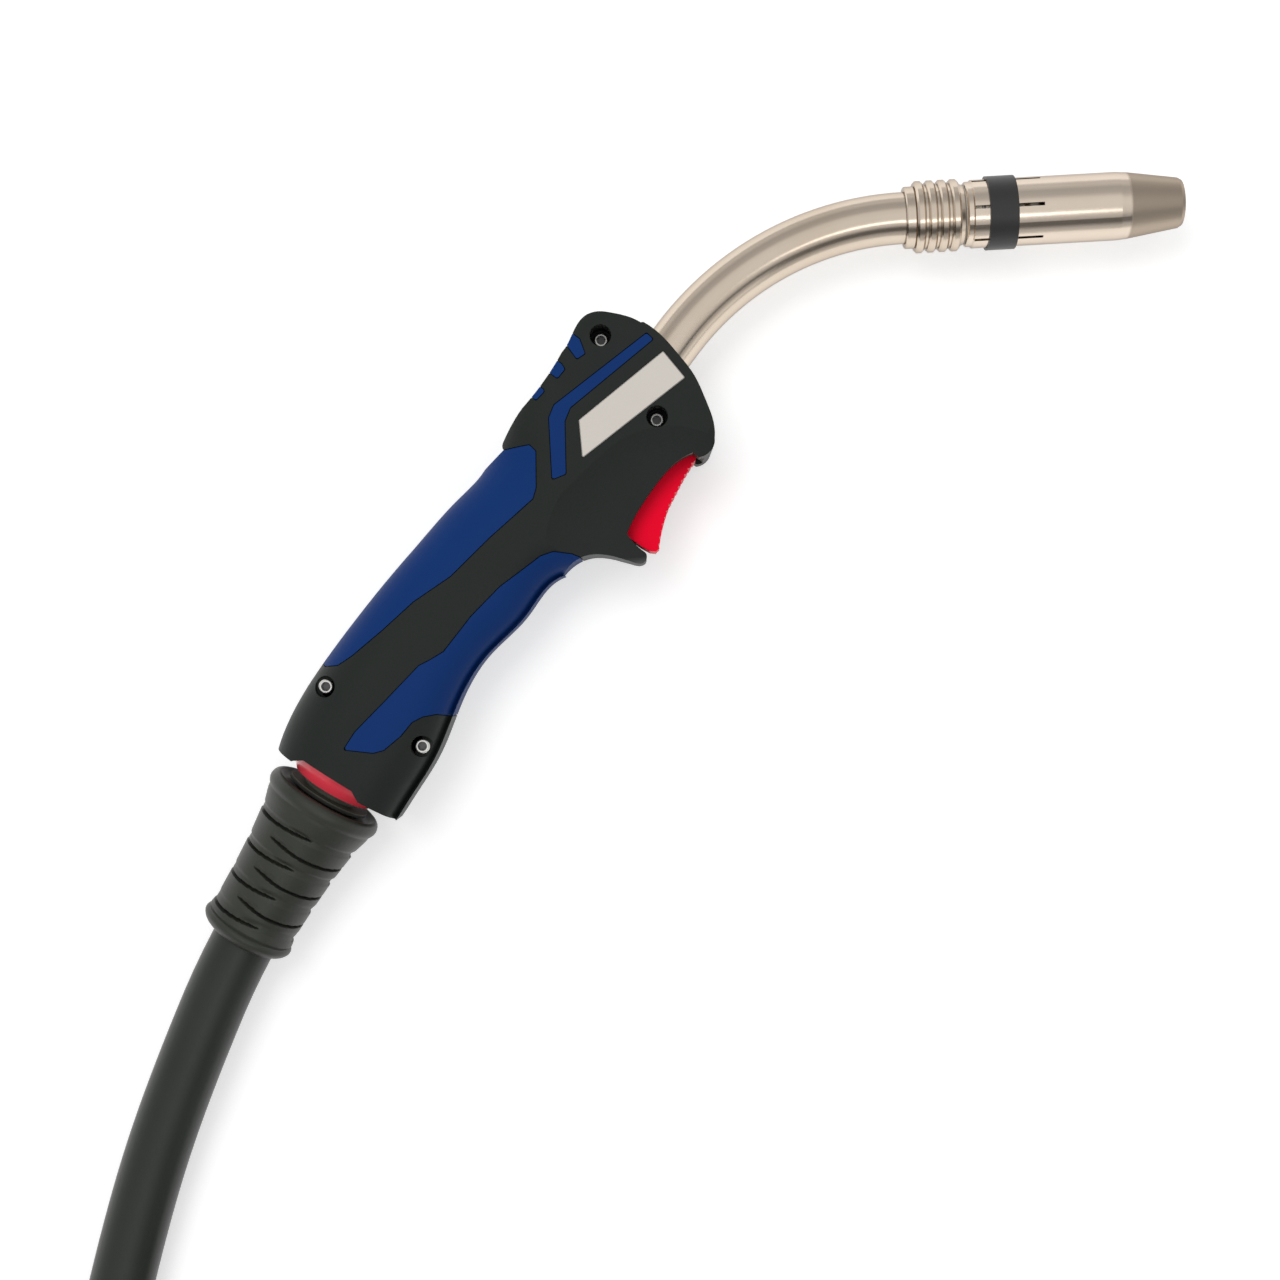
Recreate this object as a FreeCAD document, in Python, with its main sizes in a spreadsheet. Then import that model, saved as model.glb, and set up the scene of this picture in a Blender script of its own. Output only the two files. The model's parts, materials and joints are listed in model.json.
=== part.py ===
import FreeCAD, Part
import Sketcher
import math
import os
import re

# A gas-shielded welding torch lying on its left side, nozzle to the right, with its cable
# falling to the floor, put away in a coil and ending in a central connector.
# The torch's own middle plane is level, and +Z is the side that faces up as it lies.

os.makedirs("parts", exist_ok=True)
doc = FreeCAD.newDocument("welding_torch")

sizes = {
    # handle
    "handle_heading": 53.5,
    "plate_proud": 0.3,
    "plate_corner": 0.4,
    "head_flat_half": 19.0,
    "handle_wall": 3.0,
    "inlay_depth": 1.4,
    "inlay_gap": 0.25,
    "head_front": 159.0,
    "front_step": 0.55,
    "zone_corner": 0.6,
    "plate_depth": 0.8,
    "scoop_radius": 70.5,
    "scoop_start": 97.0,
    "scoop_end": 118.0,
    "scoop_start_side": -28.5,
    "scoop_end_side": -32.0,
    "scoop_height": 84.1,
    "socket_end": 19.4,
    "core_room": 12.6,
    "form_end": 200.0,
    # swan neck
    "neck_offset": -1.7,
    "neck_radius": 7.5,
    "neck_wall": 1.0,
    "neck_stub": 4.1,
    "neck_bend_radius": 88.0,
    "neck_bend_angle": 50.3,
    "neck_seat_depth": 6.0,
    "insulation_radius": 6.4,
    "insulation_end": 10.0,
    "conductor_radius": 5.0,
    "conductor_bore": 3.0,
    "conductor_end": 12.0,
    "liner_radius": 2.3,
    "liner_bore": 1.2,
    "fit_gap": 0.08,
    # neck block and power core in the handle
    "block_start": 118.0,
    "block_length": 16.0,
    "block_radius": 8.5,
    "block_seat": 8.0,
    "union_length": 5.8,
    "union_radius": 8.2,
    "core_radius": 6.0,
    "core_end": 19.0,
    "core_seat": 3.5,
    "liner_end": 37.0,
    # finned neck end
    "head_start": 0.3,
    "head_collar_radius": 8.95,
    "head_collar_length": 2.6,
    "fin_radius": 10.4,
    "fin_root_radius": 9.2,
    "fin_width": 2.55,
    "fin_pitch": 3.42,
    "fin_count": 4,
    "edge_chamfer": 0.6,
    "spigot_radius": 6.4,
    "spigot_length": 8.6,
    # gas nozzle
    "nozzle_start": 17.9,
    "nozzle_length": 63.4,
    "nozzle_ring_radius": 9.4,
    "nozzle_ring_length": 1.7,
    "nozzle_radius": 9.85,
    "nozzle_shoulder": 47.4,
    "nozzle_mouth_radius": 7.3,
    "nozzle_bore": 8.4,
    "nozzle_mouth_bore": 6.25,
    "slot_length": 22.0,
    "slot_width": 1.0,
    "slot_count": 6,
    "slot_turn": 30.0,
    "band_turn": 250.0,
    "band_start": 6.3,
    "band_length": 8.2,
    "band_thickness": 0.75,
    "band_slit": 1.4,
    # parts inside the nozzle
    "seat_length": 12.0,
    "seat_start": 17.6,
    "spring_wire": 0.5,
    "spring_place": 5.0,
    "holder_radius": 5.1,
    "holder_end": 44.0,
    "diffuser_radius": 7.2,
    "diffuser_start": 30.0,
    "diffuser_length": 9.0,
    "gas_hole_radius": 0.9,
    "gas_hole_count": 8,
    "tip_radius": 4.0,
    "tip_recess": 3.2,
    "tip_bore": 0.7,
    "tip_shank_radius": 3.0,
    "tip_shank_length": 6.0,
    # trigger and switch
    "trigger_pivot_u": 134.0,
    "trigger_pivot_v": -20.0,
    "trigger_half_width": 8.0,
    "trigger_side_gap": 0.4,
    "trigger_pin_radius": 1.25,
    "trigger_pin_length": 24.0,
    "trigger_inner": -18.6,
    "slot_start": 106.4,
    "slot_end": 139.2,
    "tooth_count": 14,
    "tooth_depth": 0.5,
    "switch_start": 99.0,
    "switch_length": 14.5,
    "switch_face": -16.0,
    "switch_height": 5.8,
    "switch_half_width": 4.0,
    "post_radius": 1.1,
    "wire_radius": 0.75,
    "wire_line": -6.5,
    "wire_side": 5.4,
    "button_place": 111.0,
    "button_radius": 1.2,
    "button_reach": 2.4,
    "button_depth": 1.8,
    "shelf_face": -12.7,
    "shelf_thickness": 1.4,
    # screws
    "screw_shank_radius": 1.4,
    "screw_head_radius": 2.1,
    "screw_head_height": 2.2,
    "screw_socket_depth": 1.2,
    "screw_lobe_place": 0.96,
    "screw_lobe_radius": 0.4,
    "screw_reach": 11.5,
    "screw_hole_radius": 3.1,
    "boss_radius": 3.4,
    "head_screw_seat": 7.0,
    "tail_screw_seat": 10.5,
    # ball joint
    "ball_place": 8.3,
    "ball_side": 2.4,
    "ball_radius": 16.0,
    "ball_gap": 0.25,
    "inner_ball_radius": 10.75,
    "ring_front": 8.0,
    "ring_back": 10.2,
    "ring_mouth_radius": 10.0,
    "inner_ball_front": 7.0,
    "collar_neck_radius": 8.2,
    "collar_bore": 6.3,
    "collar_start": 12.3,
    "collar_radius": 12.6,
    "collar_thickness": 1.1,
    "swivel_radius": 9.2,
    "swivel_lip_radius": 10.2,
    "swivel_length": 6.4,
    "swivel_lip_length": 2.0,
    "swivel_gap": 0.2,
    # bend relief
    "relief_side_angle": 5.3,
    "relief_drop_angle": 4.0,
    "relief_steps_start": 17.0,
    "relief_tooth": 1.3,
    "slot_arc": 200.0,
    "slot_depth": 2.2,
    "slot_slant": 5.0,
    "ferrule_start": 21.0,
    "relief_top_radius": 17.2,
    "relief_rim": 3.4,
    "relief_body_radius": 15.6,
    "relief_step": 0.75,
    "relief_step_count": 4,
    "relief_step_length": 9.75,
    "relief_low_radius": 14.1,
    "relief_end": 63.6,
    "slot_cut": 1.0,
    "relief_flare": 0.7,
    "relief_flare_length": 12.0,
    "ferrule_radius": 9.5,
    "ferrule_end": 36.0,
    # cable
    "cable_radius": 9.5,
    "cable_clearance": 0.1,
    "coil_outer_radius": 122.0,
    "coil_pitch": 19.7,
    "coil_turns": 2.25,
    "coil_lead_out": 26.0,
    "lead_straight": 66.0,
    "plug_lead_in": 40.4,
    # central connector
    "plug_pin_radius": 5.0,
    "plug_pin_reach": 32.0,
    "plug_nut_radius": 21.5,
    "plug_nut_length": 24.0,
    "plug_nut_front": 6.0,
    "plug_nut_bore": 17.6,
    "plug_face_radius": 17.0,
    "plug_face_length": 12.0,
    "plug_body_radius": 8.0,
    "plug_shell_radius": 20.0,
    "plug_shell_back_radius": 14.5,
    "plug_shell_wall": 2.5,
    "plug_shell_end": -71.5,
    "plug_boot_length": 30.0,
    "plug_bore": 1.5,
    "plug_pin_start": -20.0,
    "plug_body_start": -82.0,
    "plug_face_start": -16.0,
    "plug_neck_radius": 14.4,
    "nut_grip_count": 12,
    "nut_grip_radius": 3.0,
    "o_ring_place": 24.0,
    "plug_pin_side": 11.0,
    "contact_pin_radius": 2.0,
    "contact_pin_reach": 7.0,
    "o_ring_wire": 0.9,
    "liner_nut_radius": 4.6,
    "liner_nut_length": 6.0,
}

sheet = doc.addObject("Spreadsheet::Sheet", "sizes")
for row, (alias, amount) in enumerate(sizes.items(), start=1):
    sheet.set(f"A{row}", alias)
    sheet.set(f"B{row}", str(amount))
    sheet.setAlias(f"B{row}", alias)
doc.recompute()

names = re.compile(r"\b(" + "|".join(sorted(sizes, key=len, reverse=True)) + r")\b")
nodes = []


def num(text):
    # the value of a size, or of a sum of sizes, as the sheet holds it
    return float(sheet.evalExpression(str(text)))


def bound(text):
    # the same sum, written for an object outside the sheet
    return names.sub(r"sizes.\1", str(text))


def vec(x=0.0, y=0.0, z=0.0):
    return FreeCAD.Vector(x, y, z)


def facing(point, way):
    # a frame at a point, its Z along a way and its X as near to upright as that leaves
    return FreeCAD.Placement(point, FreeCAD.Rotation(vec(0, 0, 1), vec(), way, "ZXY"))


def turned_by(angle):
    return FreeCAD.Placement(vec(), FreeCAD.Rotation(vec(0, 0, 1), angle))


def origin_plane(body, role):
    for feature in body.Origin.OriginFeatures:
        if feature.Role == role:
            return feature
    raise ValueError(role)


def closed_sketch(body, name, role, points):
    # a closed outline whose every corner is held by two dimensions from the origin
    sketch = body.newObject("Sketcher::SketchObject", name)
    sketch.AttachmentSupport = (origin_plane(body, role), [""])
    sketch.MapMode = "FlatFace"
    corners = [vec(num(x), num(y)) for x, y in points]
    for start, end in zip(corners, corners[1:] + corners[:1]):
        sketch.addGeometry(Part.LineSegment(start, end), False)
    for edge in range(len(corners)):
        following = (edge + 1) % len(corners)
        sketch.addConstraint(Sketcher.Constraint("Coincident", edge, 2, following, 1))
    for edge, (texts, corner) in enumerate(zip(points, corners)):
        for kind, text, amount in zip(("DistanceX", "DistanceY"), texts, corner):
            place = sketch.addConstraint(Sketcher.Constraint(kind, -1, 1, edge, 1, amount))
            sketch.setExpression(f"Constraints[{place}]", bound(text))
    return sketch


def new_body(label):
    body = doc.addObject("PartDesign::Body", label)
    body.Label = label
    return body


def turned(label, points):
    # a body turned about its own Z axis from (radius, height) corners
    body = new_body(label)
    sketch = closed_sketch(body, label + "_outline", "XZ_Plane", points)
    turn = body.newObject("PartDesign::Revolution", label + "_turn")
    turn.Profile = sketch
    turn.ReferenceAxis = (sketch, ["V_Axis"])
    turn.Angle = 360
    doc.recompute()
    return body


def keep(item, place, label=None):
    # one finished sub-part, set where it belongs
    if label:
        item.Label = label
    item.Placement = place
    nodes.append(item)
    return item


def feature(label, shape):
    item = doc.addObject("Part::Feature", label)
    item.Shape = shape.Solids[0] if len(shape.Solids) == 1 else shape
    return item


def drawn_in(points, gap):
    # the same outline with every side moved inwards by a gap
    turns = sum(a[0] * b[1] - b[0] * a[1] for a, b in zip(points, points[1:] + points[:1]))
    inward = gap if turns > 0 else -gap
    moved = []
    for before, corner, after in zip(points[-1:] + points[:-1], points, points[1:] + points[:1]):
        one = math.atan2(corner[1] - before[1], corner[0] - before[0])
        two = math.atan2(after[1] - corner[1], after[0] - corner[0])
        reach = inward / (1 + math.cos(two - one))
        moved.append((corner[0] - (math.sin(one) + math.sin(two)) * reach,
                      corner[1] + (math.cos(one) + math.cos(two)) * reach))
    return moved


def prism(points, low, high, corner=0.0, gap=0.0):
    # an upright block over a closed outline, its corners rounded in plan
    if gap:
        points = drawn_in(points, gap)
    wire = Part.makePolygon([vec(x, y, low) for x, y in points + points[:1]])
    block = Part.Face(wire).extrude(vec(0, 0, high - low))
    if corner:
        upright = [e for e in block.Edges if abs(e.BoundBox.ZLength - (high - low)) < 1e-6]
        block = block.makeFillet(corner, upright)
    return block


def rod(radius, start, end):
    line = end.sub(start)
    return Part.makeCylinder(radius, line.Length, start, line)


def across(point, radius, low, high):
    # a rod across the handle at a point of its side view
    return Part.makeCylinder(radius, high - low, vec(point.x, point.y, low))


def box(low, high):
    return Part.makeBox(high.x - low.x, high.y - low.y, high.z - low.z, low)


def between(low, high):
    return box(vec(low, -80, -1), vec(high, 80, 60))


def flipped(shape):
    # the same shape on the other side of the handle
    return shape.mirror(vec(0, 0, 0), vec(0, 0, 1))


def outline(pieces, low, high):
    # an upright block over an outline of lines and curves, each a list of points
    edges = []
    for piece in pieces:
        points = [vec(x, y, low) for x, y in piece]
        if len(points) == 2:
            edges.append(Part.LineSegment(*points).toShape())
        else:
            curve = Part.BSplineCurve()
            curve.interpolate(points)
            edges.append(curve.toShape())
    return Part.Face(Part.Wire(edges)).extrude(vec(0, 0, high - low))


# Handle form. Its own frame: x runs from the tail to the head, y to the back of the hand,
# z across, with z = 0 where the two shells meet. Each row is a cross section: its place,
# its back edge, its belly edge, half its thickness and how square it is.
handle_sections = [
    (-5.0, 19.2, -18.4, 17.6, 2.5),
    (8.0, 23.3, -19.25, 19.0, 2.5),
    (24.0, 24.85, -17.9, 18.8, 2.5),
    (40.0, 24.95, -13.9, 17.2, 2.5),
    (56.0, 24.4, -12.4, 16.4, 2.5),
    (72.0, 23.25, -14.6, 16.4, 2.5),
    (86.0, 21.95, -15.6, 17.0, 2.5),
    (97.0, 20.5, -26.0, 17.8, 2.7),
    (108.0, 22.3, -37.0, 19.3, 3.3),
    (120.0, 25.6, -38.0, 20.2, 4.0),
    (134.0, 26.6, -36.0, 20.4, 4.0),
    (148.0, 27.0, -35.0, 20.2, 4.0),
    (158.0, 26.6, -33.0, 19.4, 4.0),
    (167.0, 25.6, -30.0, 17.0, 3.6),
]
section_steps = 12


def section_point(step, power):
    # one point of a rounded square of half width 1, as it is passed from back to belly
    angle = math.pi * step / section_steps
    side, up = math.cos(angle), abs(math.sin(angle))
    return math.copysign(abs(side) ** (2 / power), side), up ** (2 / power)


middle_section = [section_point(step, 3) for step in range(section_steps + 1)]
section_shares = [0.0]
for one, two in zip(middle_section, middle_section[1:]):
    section_shares.append(section_shares[-1] + math.dist(one, two))


def handle_section(place, back, belly, half, power, inset):
    # the upper half of one section, closed along the plane where the shells meet
    middle = (back + belly) / 2
    reach = (back - belly) / 2 - inset
    rise = half - inset
    points = []
    for step in range(section_steps + 1):
        side, up = section_point(step, power)
        points.append(vec(place, middle + reach * side, rise * up))
    points[0].z = points[-1].z = 0.0
    curve = Part.BSplineCurve()
    curve.interpolate(Points=points, Parameters=section_shares,
                      InitialTangent=vec(0, 0, 1), FinalTangent=vec(0, 0, -1))
    return Part.Wire([curve.toShape(), Part.LineSegment(points[-1], points[0]).toShape()])


def half_form(inset):
    # the upper half of the handle's form, drawn in by a wall, with its flat side and the
    # long shallow hollow beside the trigger
    loft = Part.makeLoft([handle_section(*row, inset) for row in handle_sections], True, False)
    flat = num("head_flat_half") - inset
    radius = num("scoop_radius") + inset
    start = vec(num("scoop_start"), num("scoop_start_side"), num("scoop_height"))
    end = vec(num("scoop_end"), num("scoop_end_side"), num("scoop_height"))
    form = loft.cut(box(vec(-30, -80, flat), vec(num("form_end"), 80, 60)))
    for hollow in (rod(radius, start, end), Part.makeSphere(radius, start), Part.makeSphere(radius, end)):
        form = form.cut(hollow)
    return form


front = num("head_front")
front_step = num("front_step")
head_outline = [
    [(-3.65, 40), (4.15, -40)],
    [(4.15, -40), (88.0, -40)],
    [(88.0, -40), (88.0, -16.2)],
    [(88.0, -16.2), (91.5, -16.4), (95.6, -18.1), (98.6, -21.1), (100.5, -24.5), (102.0, -28.4)],
    [(102.0, -28.4), (102.9, -30.9), (103.8, -32.4), (105.0, -33.0), (106.2, -32.7), (107.0, -31.4)],
    [(107.0, -31.4), (107.2, -27.6), (108.2, -24.1)],
    [(108.2, -24.1), (113.5, -23.0), (120.0, -22.5), (127.0, -22.5), (133.0, -23.4), (137.8, -25.6)],
    [(137.8, -25.6), (137.8, -27.8)],
    [(137.8, -27.8), (139.5, -29.0), (142.0, -29.4), (144.6, -28.2)],
    [(144.6, -28.2), (148.9, -24.2), (front - 7.4, -20.0), (front - 5.2, -16.3), (front - 3.4, -12.6),
     (front - 1.3, -5.1), (front - 0.4, -1.2), (front, 7.6)],
    [(front, 7.6), (front - front_step, 8.2)],
    [(front - front_step, 8.2), (front - 0.6 - front_step, 11.4), (front - 3.1, 16.2),
     (front - 5.2, 20.0), (front - 7.6, 22.0)],
    [(front - 7.6, 22.0), (front - 9.4, 22.55), (146.4, 22.45), (138.6, 21.3)],
    [(138.6, 21.3), (126.9, 20.45), (119.1, 20.95)],
    [(119.1, 20.95), (115.2, 20.9), (111.3, 20.5), (108.2, 20.0)],
    [(108.2, 20.0), (107.1, 19.5), (106.3, 18.5)],
    [(106.3, 18.5), (102.0, 19.45), (98.0, 20.6), (84.0, 40)],
    [(84.0, 40), (-3.65, 40)],
]
handle_half = half_form(0).common(outline(head_outline, -1, 40))

mid_height = num("head_flat_half + plate_proud")
HANDLE = FreeCAD.Placement(vec(-103.20, -63.49, mid_height),
                           FreeCAD.Rotation(vec(0, 0, 1), num("handle_heading")))
neck_v = num("neck_offset")

# Inlays and plates, as outlines seen from the side
back_zone = [(25.4, 45), (25.8, 23.0), (28.6, 19.8), (33.4, 18.0), (44.2, 15.4), (56.3, 13.0),
             (68.3, 8.8), (84.0, 6.3), (100.1, 2.9), (103.2, 4.0), (111.6, 10.3), (112.0, 13.0),
             (106.6, 18.4), (106.6, 45)]
belly_zone = [(95.4, -45), (95.4, -19.3), (94.3, -14.9), (91.6, -10.2), (88.4, -8.0), (74.5, -3.9),
              (62.8, -2.3), (50.0, -2.0), (46.0, -0.4), (42.7, 1.2), (29.1, 2.8), (16.9, 4.4),
              (10.6, 4.0), (15.1, -3.7), (17.5, -5.6), (23.5, -7.0), (28.5, -7.2), (31.4, -8.6),
              (34.1, -11.2), (36.6, -16.1), (37.0, -45)]
stripe_zone = [(157.2, 5.2), (156.9, 2.2), (127.1, 9.6), (123.2, 8.6), (111.3, -0.6), (107.3, 1.8),
               (121.1, 13.2), (125.0, 14.2)]
pad_zones = [
    [(145.2, 30), (144.6, 19.3), (142.0, 15.3), (139.0, 16.4), (140.7, 21.4), (141.6, 30)],
    [(136.2, 30), (135.9, 19.2), (135.1, 17.3), (131.4, 17.5), (131.6, 30)],
    [(127.3, 30), (127.0, 19.0), (126.4, 18.3), (122.9, 18.8), (122.9, 30)],
]
plate_zone = [(155.8, -1.7), (153.4, -11.4), (117.4, -1.5), (125.7, 5.9)]
inlays = {"back_grip": [back_zone], "belly_grip": [belly_zone], "stripe": [stripe_zone],
          "head_pads": pad_zones}
zone_corner = num("zone_corner")
belly_wall = [(87.0, -45), (87.0, -14.75), (91.2, -15.0), (94.9, -16.5), (97.6, -19.2), (97.6, -45)]
under_form = half_form(num("inlay_depth")).cut(prism(belly_wall, -1, 40))
skin = handle_half.cut(under_form)
pockets = Part.makeCompound([prism(zone, -1, 40, zone_corner)
                             for zones in inlays.values() for zone in zones]).cut(under_form).Solids
for name, zones in inlays.items():
    fillings = [prism(zone, -1, 40, zone_corner, num("inlay_gap")) for zone in zones]
    piece = skin.common(Part.makeCompound(fillings))
    keep(feature(f"{name}_right", piece), HANDLE)
    keep(feature(f"{name}_left", flipped(piece)), HANDLE)

plate_seat = num("head_flat_half - plate_depth")
plate_top = num("head_flat_half + plate_proud")
plate = prism(plate_zone, plate_seat, plate_top, num("plate_corner"), 0.1)
plate = plate.makeChamfer(0.25, [e for e in plate.Edges if e.BoundBox.ZMin > plate_top - 0.01])
keep(feature("nameplate_right", plate), HANDLE)
keep(feature("nameplate_left", flipped(plate)), HANDLE)

# Hollow inside of the handle, with the ribs, towers and posts that stand in it
cavity_plan = [(19, -45), (82, -45), (85, -13.7), (92, -13.7), (96.5, -15.4), (104, -19.4), (138, -19.4),
               (146.8, -17.0),
               (153.4, -8.0), (155.6, 0.0), (155.6, 7.5), (152.8, 15.0), (149.6, 18.2),
               (109.0, 17.8), (104.0, 16.0), (96, 45), (19, 45)]
ball = vec(num("ball_place"), num("ball_side"))
pivot = vec(num("trigger_pivot_u"), num("trigger_pivot_v"))
head_screws = [vec(148.7, 15.2), vec(139.8, -11.4)]
tail_screws = [vec(21.7, 19.2), vec(24.4, -13.2)]
screws = [(p, num("head_screw_seat")) for p in head_screws]
screws += [(p, num("tail_screw_seat")) for p in tail_screws]
switch_start = num("switch_start")
switch_end = num("switch_start + switch_length")
switch_face = num("switch_face")
switch_back = num("switch_face + switch_height")
switch_half = num("switch_half_width")
post_v = (switch_face + switch_back) / 2
posts = [vec(switch_start + 2.6, post_v), vec(switch_start + 8.2, post_v)]
shelf = num("shelf_face")
block_start = num("block_start")
block_end = num("block_start + block_length")
slot_half = num("trigger_half_width + trigger_side_gap")
wire_side = num("wire_side")
wire_v = num("wire_line")


def along(radius, start, end):
    # a rod along the neck's line inside the handle
    return rod(radius, vec(start, neck_v), vec(end, neck_v))


supports = [between(place, place + 2.0) for place in (20.0, 44.0, 72.0, 146.0)]
supports += [box(vec(place, shelf, -1), vec(place + 2.0, 40, 40))
             for place in (block_start + 2.0, block_end - 4.0)]
supports.append(box(vec(block_start - 2.0, shelf, -1),
                    vec(block_start + 9.0, shelf + num("shelf_thickness"), 40)))
supports += [across(p, num("boss_radius + 1"), -1, 40) for p, seat in screws]
supports += [across(p, num("post_radius + 1.2"), switch_half + 0.05, 40) for p in posts]
supports.append(across(pivot, 3.2, slot_half, 40))
cavity = half_form(num("handle_wall")).common(prism(cavity_plan, -1, 40)).cut(supports)

openings = [
    Part.makeSphere(num("ball_radius + ball_gap"), ball).common(between(-20, num("socket_end"))),
    rod(num("core_room"), vec(15.0, ball.y), vec(num("socket_end + 0.3"), ball.y)),
    along(num("core_radius + fit_gap"), 15.0, block_start),
    along(num("union_radius + 0.4"), num("block_start - union_length - 0.4"), block_start + 0.2),
    along(num("block_radius + fit_gap"), block_start, block_end),
    along(num("neck_radius + fit_gap"), block_end - 0.2, 175.0),
    box(vec(num("slot_start"), -45, -1), vec(num("slot_end"), -19.0, slot_half)),
    box(vec(switch_start - 3.4, switch_face - 0.1, -1),
        vec(switch_end + 0.2, switch_back + 0.1, switch_half + 0.05)),
    across(pivot, num("trigger_pin_radius + 0.02"), -1, num("trigger_pin_length / 2 + 0.2")),
    rod(1.2, vec(18.0, wire_v, wire_side), vec(80.0, wire_v, wire_side)),
    prism(plate_zone, plate_seat, 40, num("plate_corner")),
    # the shallow step in the tail's rim that bares the ball ring
    prism([(-9, 20.5), (-0.6, 13.8), (1.4, 11.4), (2.7, -4.9), (0.9, -8.4), (-9, -14)], -1, 40),
]
shell = handle_half.cut([cavity] + openings + pockets)
shank = num("screw_shank_radius + 0.06")
screw_ways = []
for p, seat in screws:
    screw_ways.append(across(p, num("screw_hole_radius"), seat, 40))
    screw_ways.append(across(p, shank, -1, seat + 1))
peg_ways = [across(p, num("post_radius + 0.1"), -1, switch_half + 1.8) for p in posts]
keep(feature("handle_shell_right", shell.cut(screw_ways + peg_ways)), HANDLE)
threads = [across(p, shank, -num("screw_reach + 0.5"), 1) for p, seat in screws]
pegs = [across(p, num("post_radius"), -switch_half - 0.5, switch_half + 1.4) for p in posts]
keep(feature("handle_shell_left", flipped(shell).cut(threads).multiFuse(pegs)), HANDLE)

# Screws, pressed home from the right-hand shell into the left one


def screw(point, seat):
    top = seat + num("screw_head_height")
    head = across(point, num("screw_head_radius"), seat, top)
    head = head.makeFillet(0.5, [e for e in head.Edges if e.BoundBox.ZMin > top - 0.01])
    lobe_place = num("screw_lobe_place")
    lobe = [vec(lobe_place * math.cos(k * math.pi / 3),
                lobe_place * math.sin(k * math.pi / 3)) for k in range(6)]
    floor = top - num("screw_socket_depth")
    socket = [across(point.add(offset), num("screw_lobe_radius"), floor, top + 0.2) for offset in lobe]
    socket.append(across(point, lobe_place, floor, top + 0.2))
    return head.fuse(across(point, num("screw_shank_radius"), -num("screw_reach"), seat)).cut(socket)


keep(feature("head_screws", Part.makeCompound([screw(*each) for each in screws[:2]])), HANDLE)
keep(feature("tail_screws", Part.makeCompound([screw(*each) for each in screws[2:]])), HANDLE)

# Trigger, its pin, and the switch that it presses
finger_line = [(137.5, -27.2), (134.2, -27.3), (129.9, -27.8), (126.0, -28.45), (121.7, -29.2),
               (117.5, -30.6), (114.1, -32.05), (111.2, -33.6)]
edge = Part.BSplineCurve()
edge.interpolate([vec(x, y) for x, y in finger_line])
teeth = int(num("tooth_count"))
first, last = edge.FirstParameter, edge.LastParameter
finger_edge = []
for tooth in range(teeth):
    for share, depth in ((0.1, 0.0), (0.6, 0.0), (0.85, num("tooth_depth"))):
        place = edge.value(first + (last - first) * (tooth + share) / teeth)
        finger_edge.append((place.x, place.y + depth))
inner = num("trigger_inner")
trigger_outline = ([(138.7, -26.4)] + finger_edge +
                   [(110.6, -34.0), (109.2, -33.8), (108.3, -32.3), (107.9, -29.4), (107.9, -24.0),
                    (109.2, -22.0), (109.2, inner), (130.0, inner),
                    (131.4, -17.4), (136.6, -17.4), (138.3, -20.0)])
half_width = num("trigger_half_width")
trigger = prism(trigger_outline, -half_width, half_width)
stop = box(vec(109.2, -19.1, -half_width - 2.2), vec(113.0, inner, half_width + 2.2))
trigger = trigger.fuse(stop).cut(across(pivot, num("trigger_pin_radius + 0.05"), -20, 20))
keep(feature("trigger", trigger), HANDLE)

pin = doc.addObject("Part::Cylinder", "trigger_pin")
pin.setExpression("Radius", "sizes.trigger_pin_radius")
pin.setExpression("Height", "sizes.trigger_pin_length")
pin_start = vec(pivot.x, pivot.y, -num("trigger_pin_length / 2"))
keep(pin, HANDLE.multiply(FreeCAD.Placement(pin_start, FreeCAD.Rotation())))

button_u = num("button_place")
button_top = num("switch_face - button_reach")
button_inner = num("switch_face + button_depth")
button_r = num("button_radius")
switch = box(vec(switch_start, switch_face, -switch_half), vec(switch_end, switch_back, switch_half))
switch = switch.makeFillet(0.6, [e for e in switch.Edges if e.BoundBox.ZLength > 2 * switch_half - 0.1])
switch = switch.cut([across(p, num("post_radius + 0.1"), -20, 20) for p in posts] +
                    [rod(button_r + 0.06, vec(button_u, switch_face - 1),
                         vec(button_u, switch_back - 0.8))])
keep(feature("switch_body", switch), HANDLE)
button = rod(button_r, vec(button_u, button_top), vec(button_u, button_inner))
button = button.makeFillet(0.4, [e for e in button.Edges if e.BoundBox.YMax < button_top + 0.01])
keep(feature("switch_button", button), HANDLE)
tabs = [box(vec(switch_start - 3.0, post_v - 1.0, side * 2.0 - 0.25),
            vec(switch_start, post_v + 1.0, side * 2.0 + 0.25)) for side in (1, -1)]
keep(feature("switch_terminals", Part.makeCompound(tabs)), HANDLE)


def tangent_path(points):
    # straight runs joined by arcs as large as the two runs beside each corner allow
    edges = []
    radii = []
    at = points[0]
    for before, corner, after in zip(points, points[1:], points[2:]):
        back = before.sub(corner)
        ahead = after.sub(corner)
        turn = math.pi - back.getAngle(ahead)
        reach = 0.45 * min(back.Length, ahead.Length)
        radius = reach / math.tan(turn / 2)
        start = corner.add(FreeCAD.Vector(back).normalize().multiply(reach))
        end = corner.add(FreeCAD.Vector(ahead).normalize().multiply(reach))
        inward = start.add(end).multiply(0.5).sub(corner).normalize()
        middle = corner.add(inward.multiply(radius / math.cos(turn / 2) - radius))
        edges.append(Part.LineSegment(at, start).toShape())
        edges.append(Part.Arc(start, middle, end).toShape())
        radii.append(radius)
        at = end
    edges.append(Part.LineSegment(at, points[-1]).toShape())
    return Part.Wire(edges), radii


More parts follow.
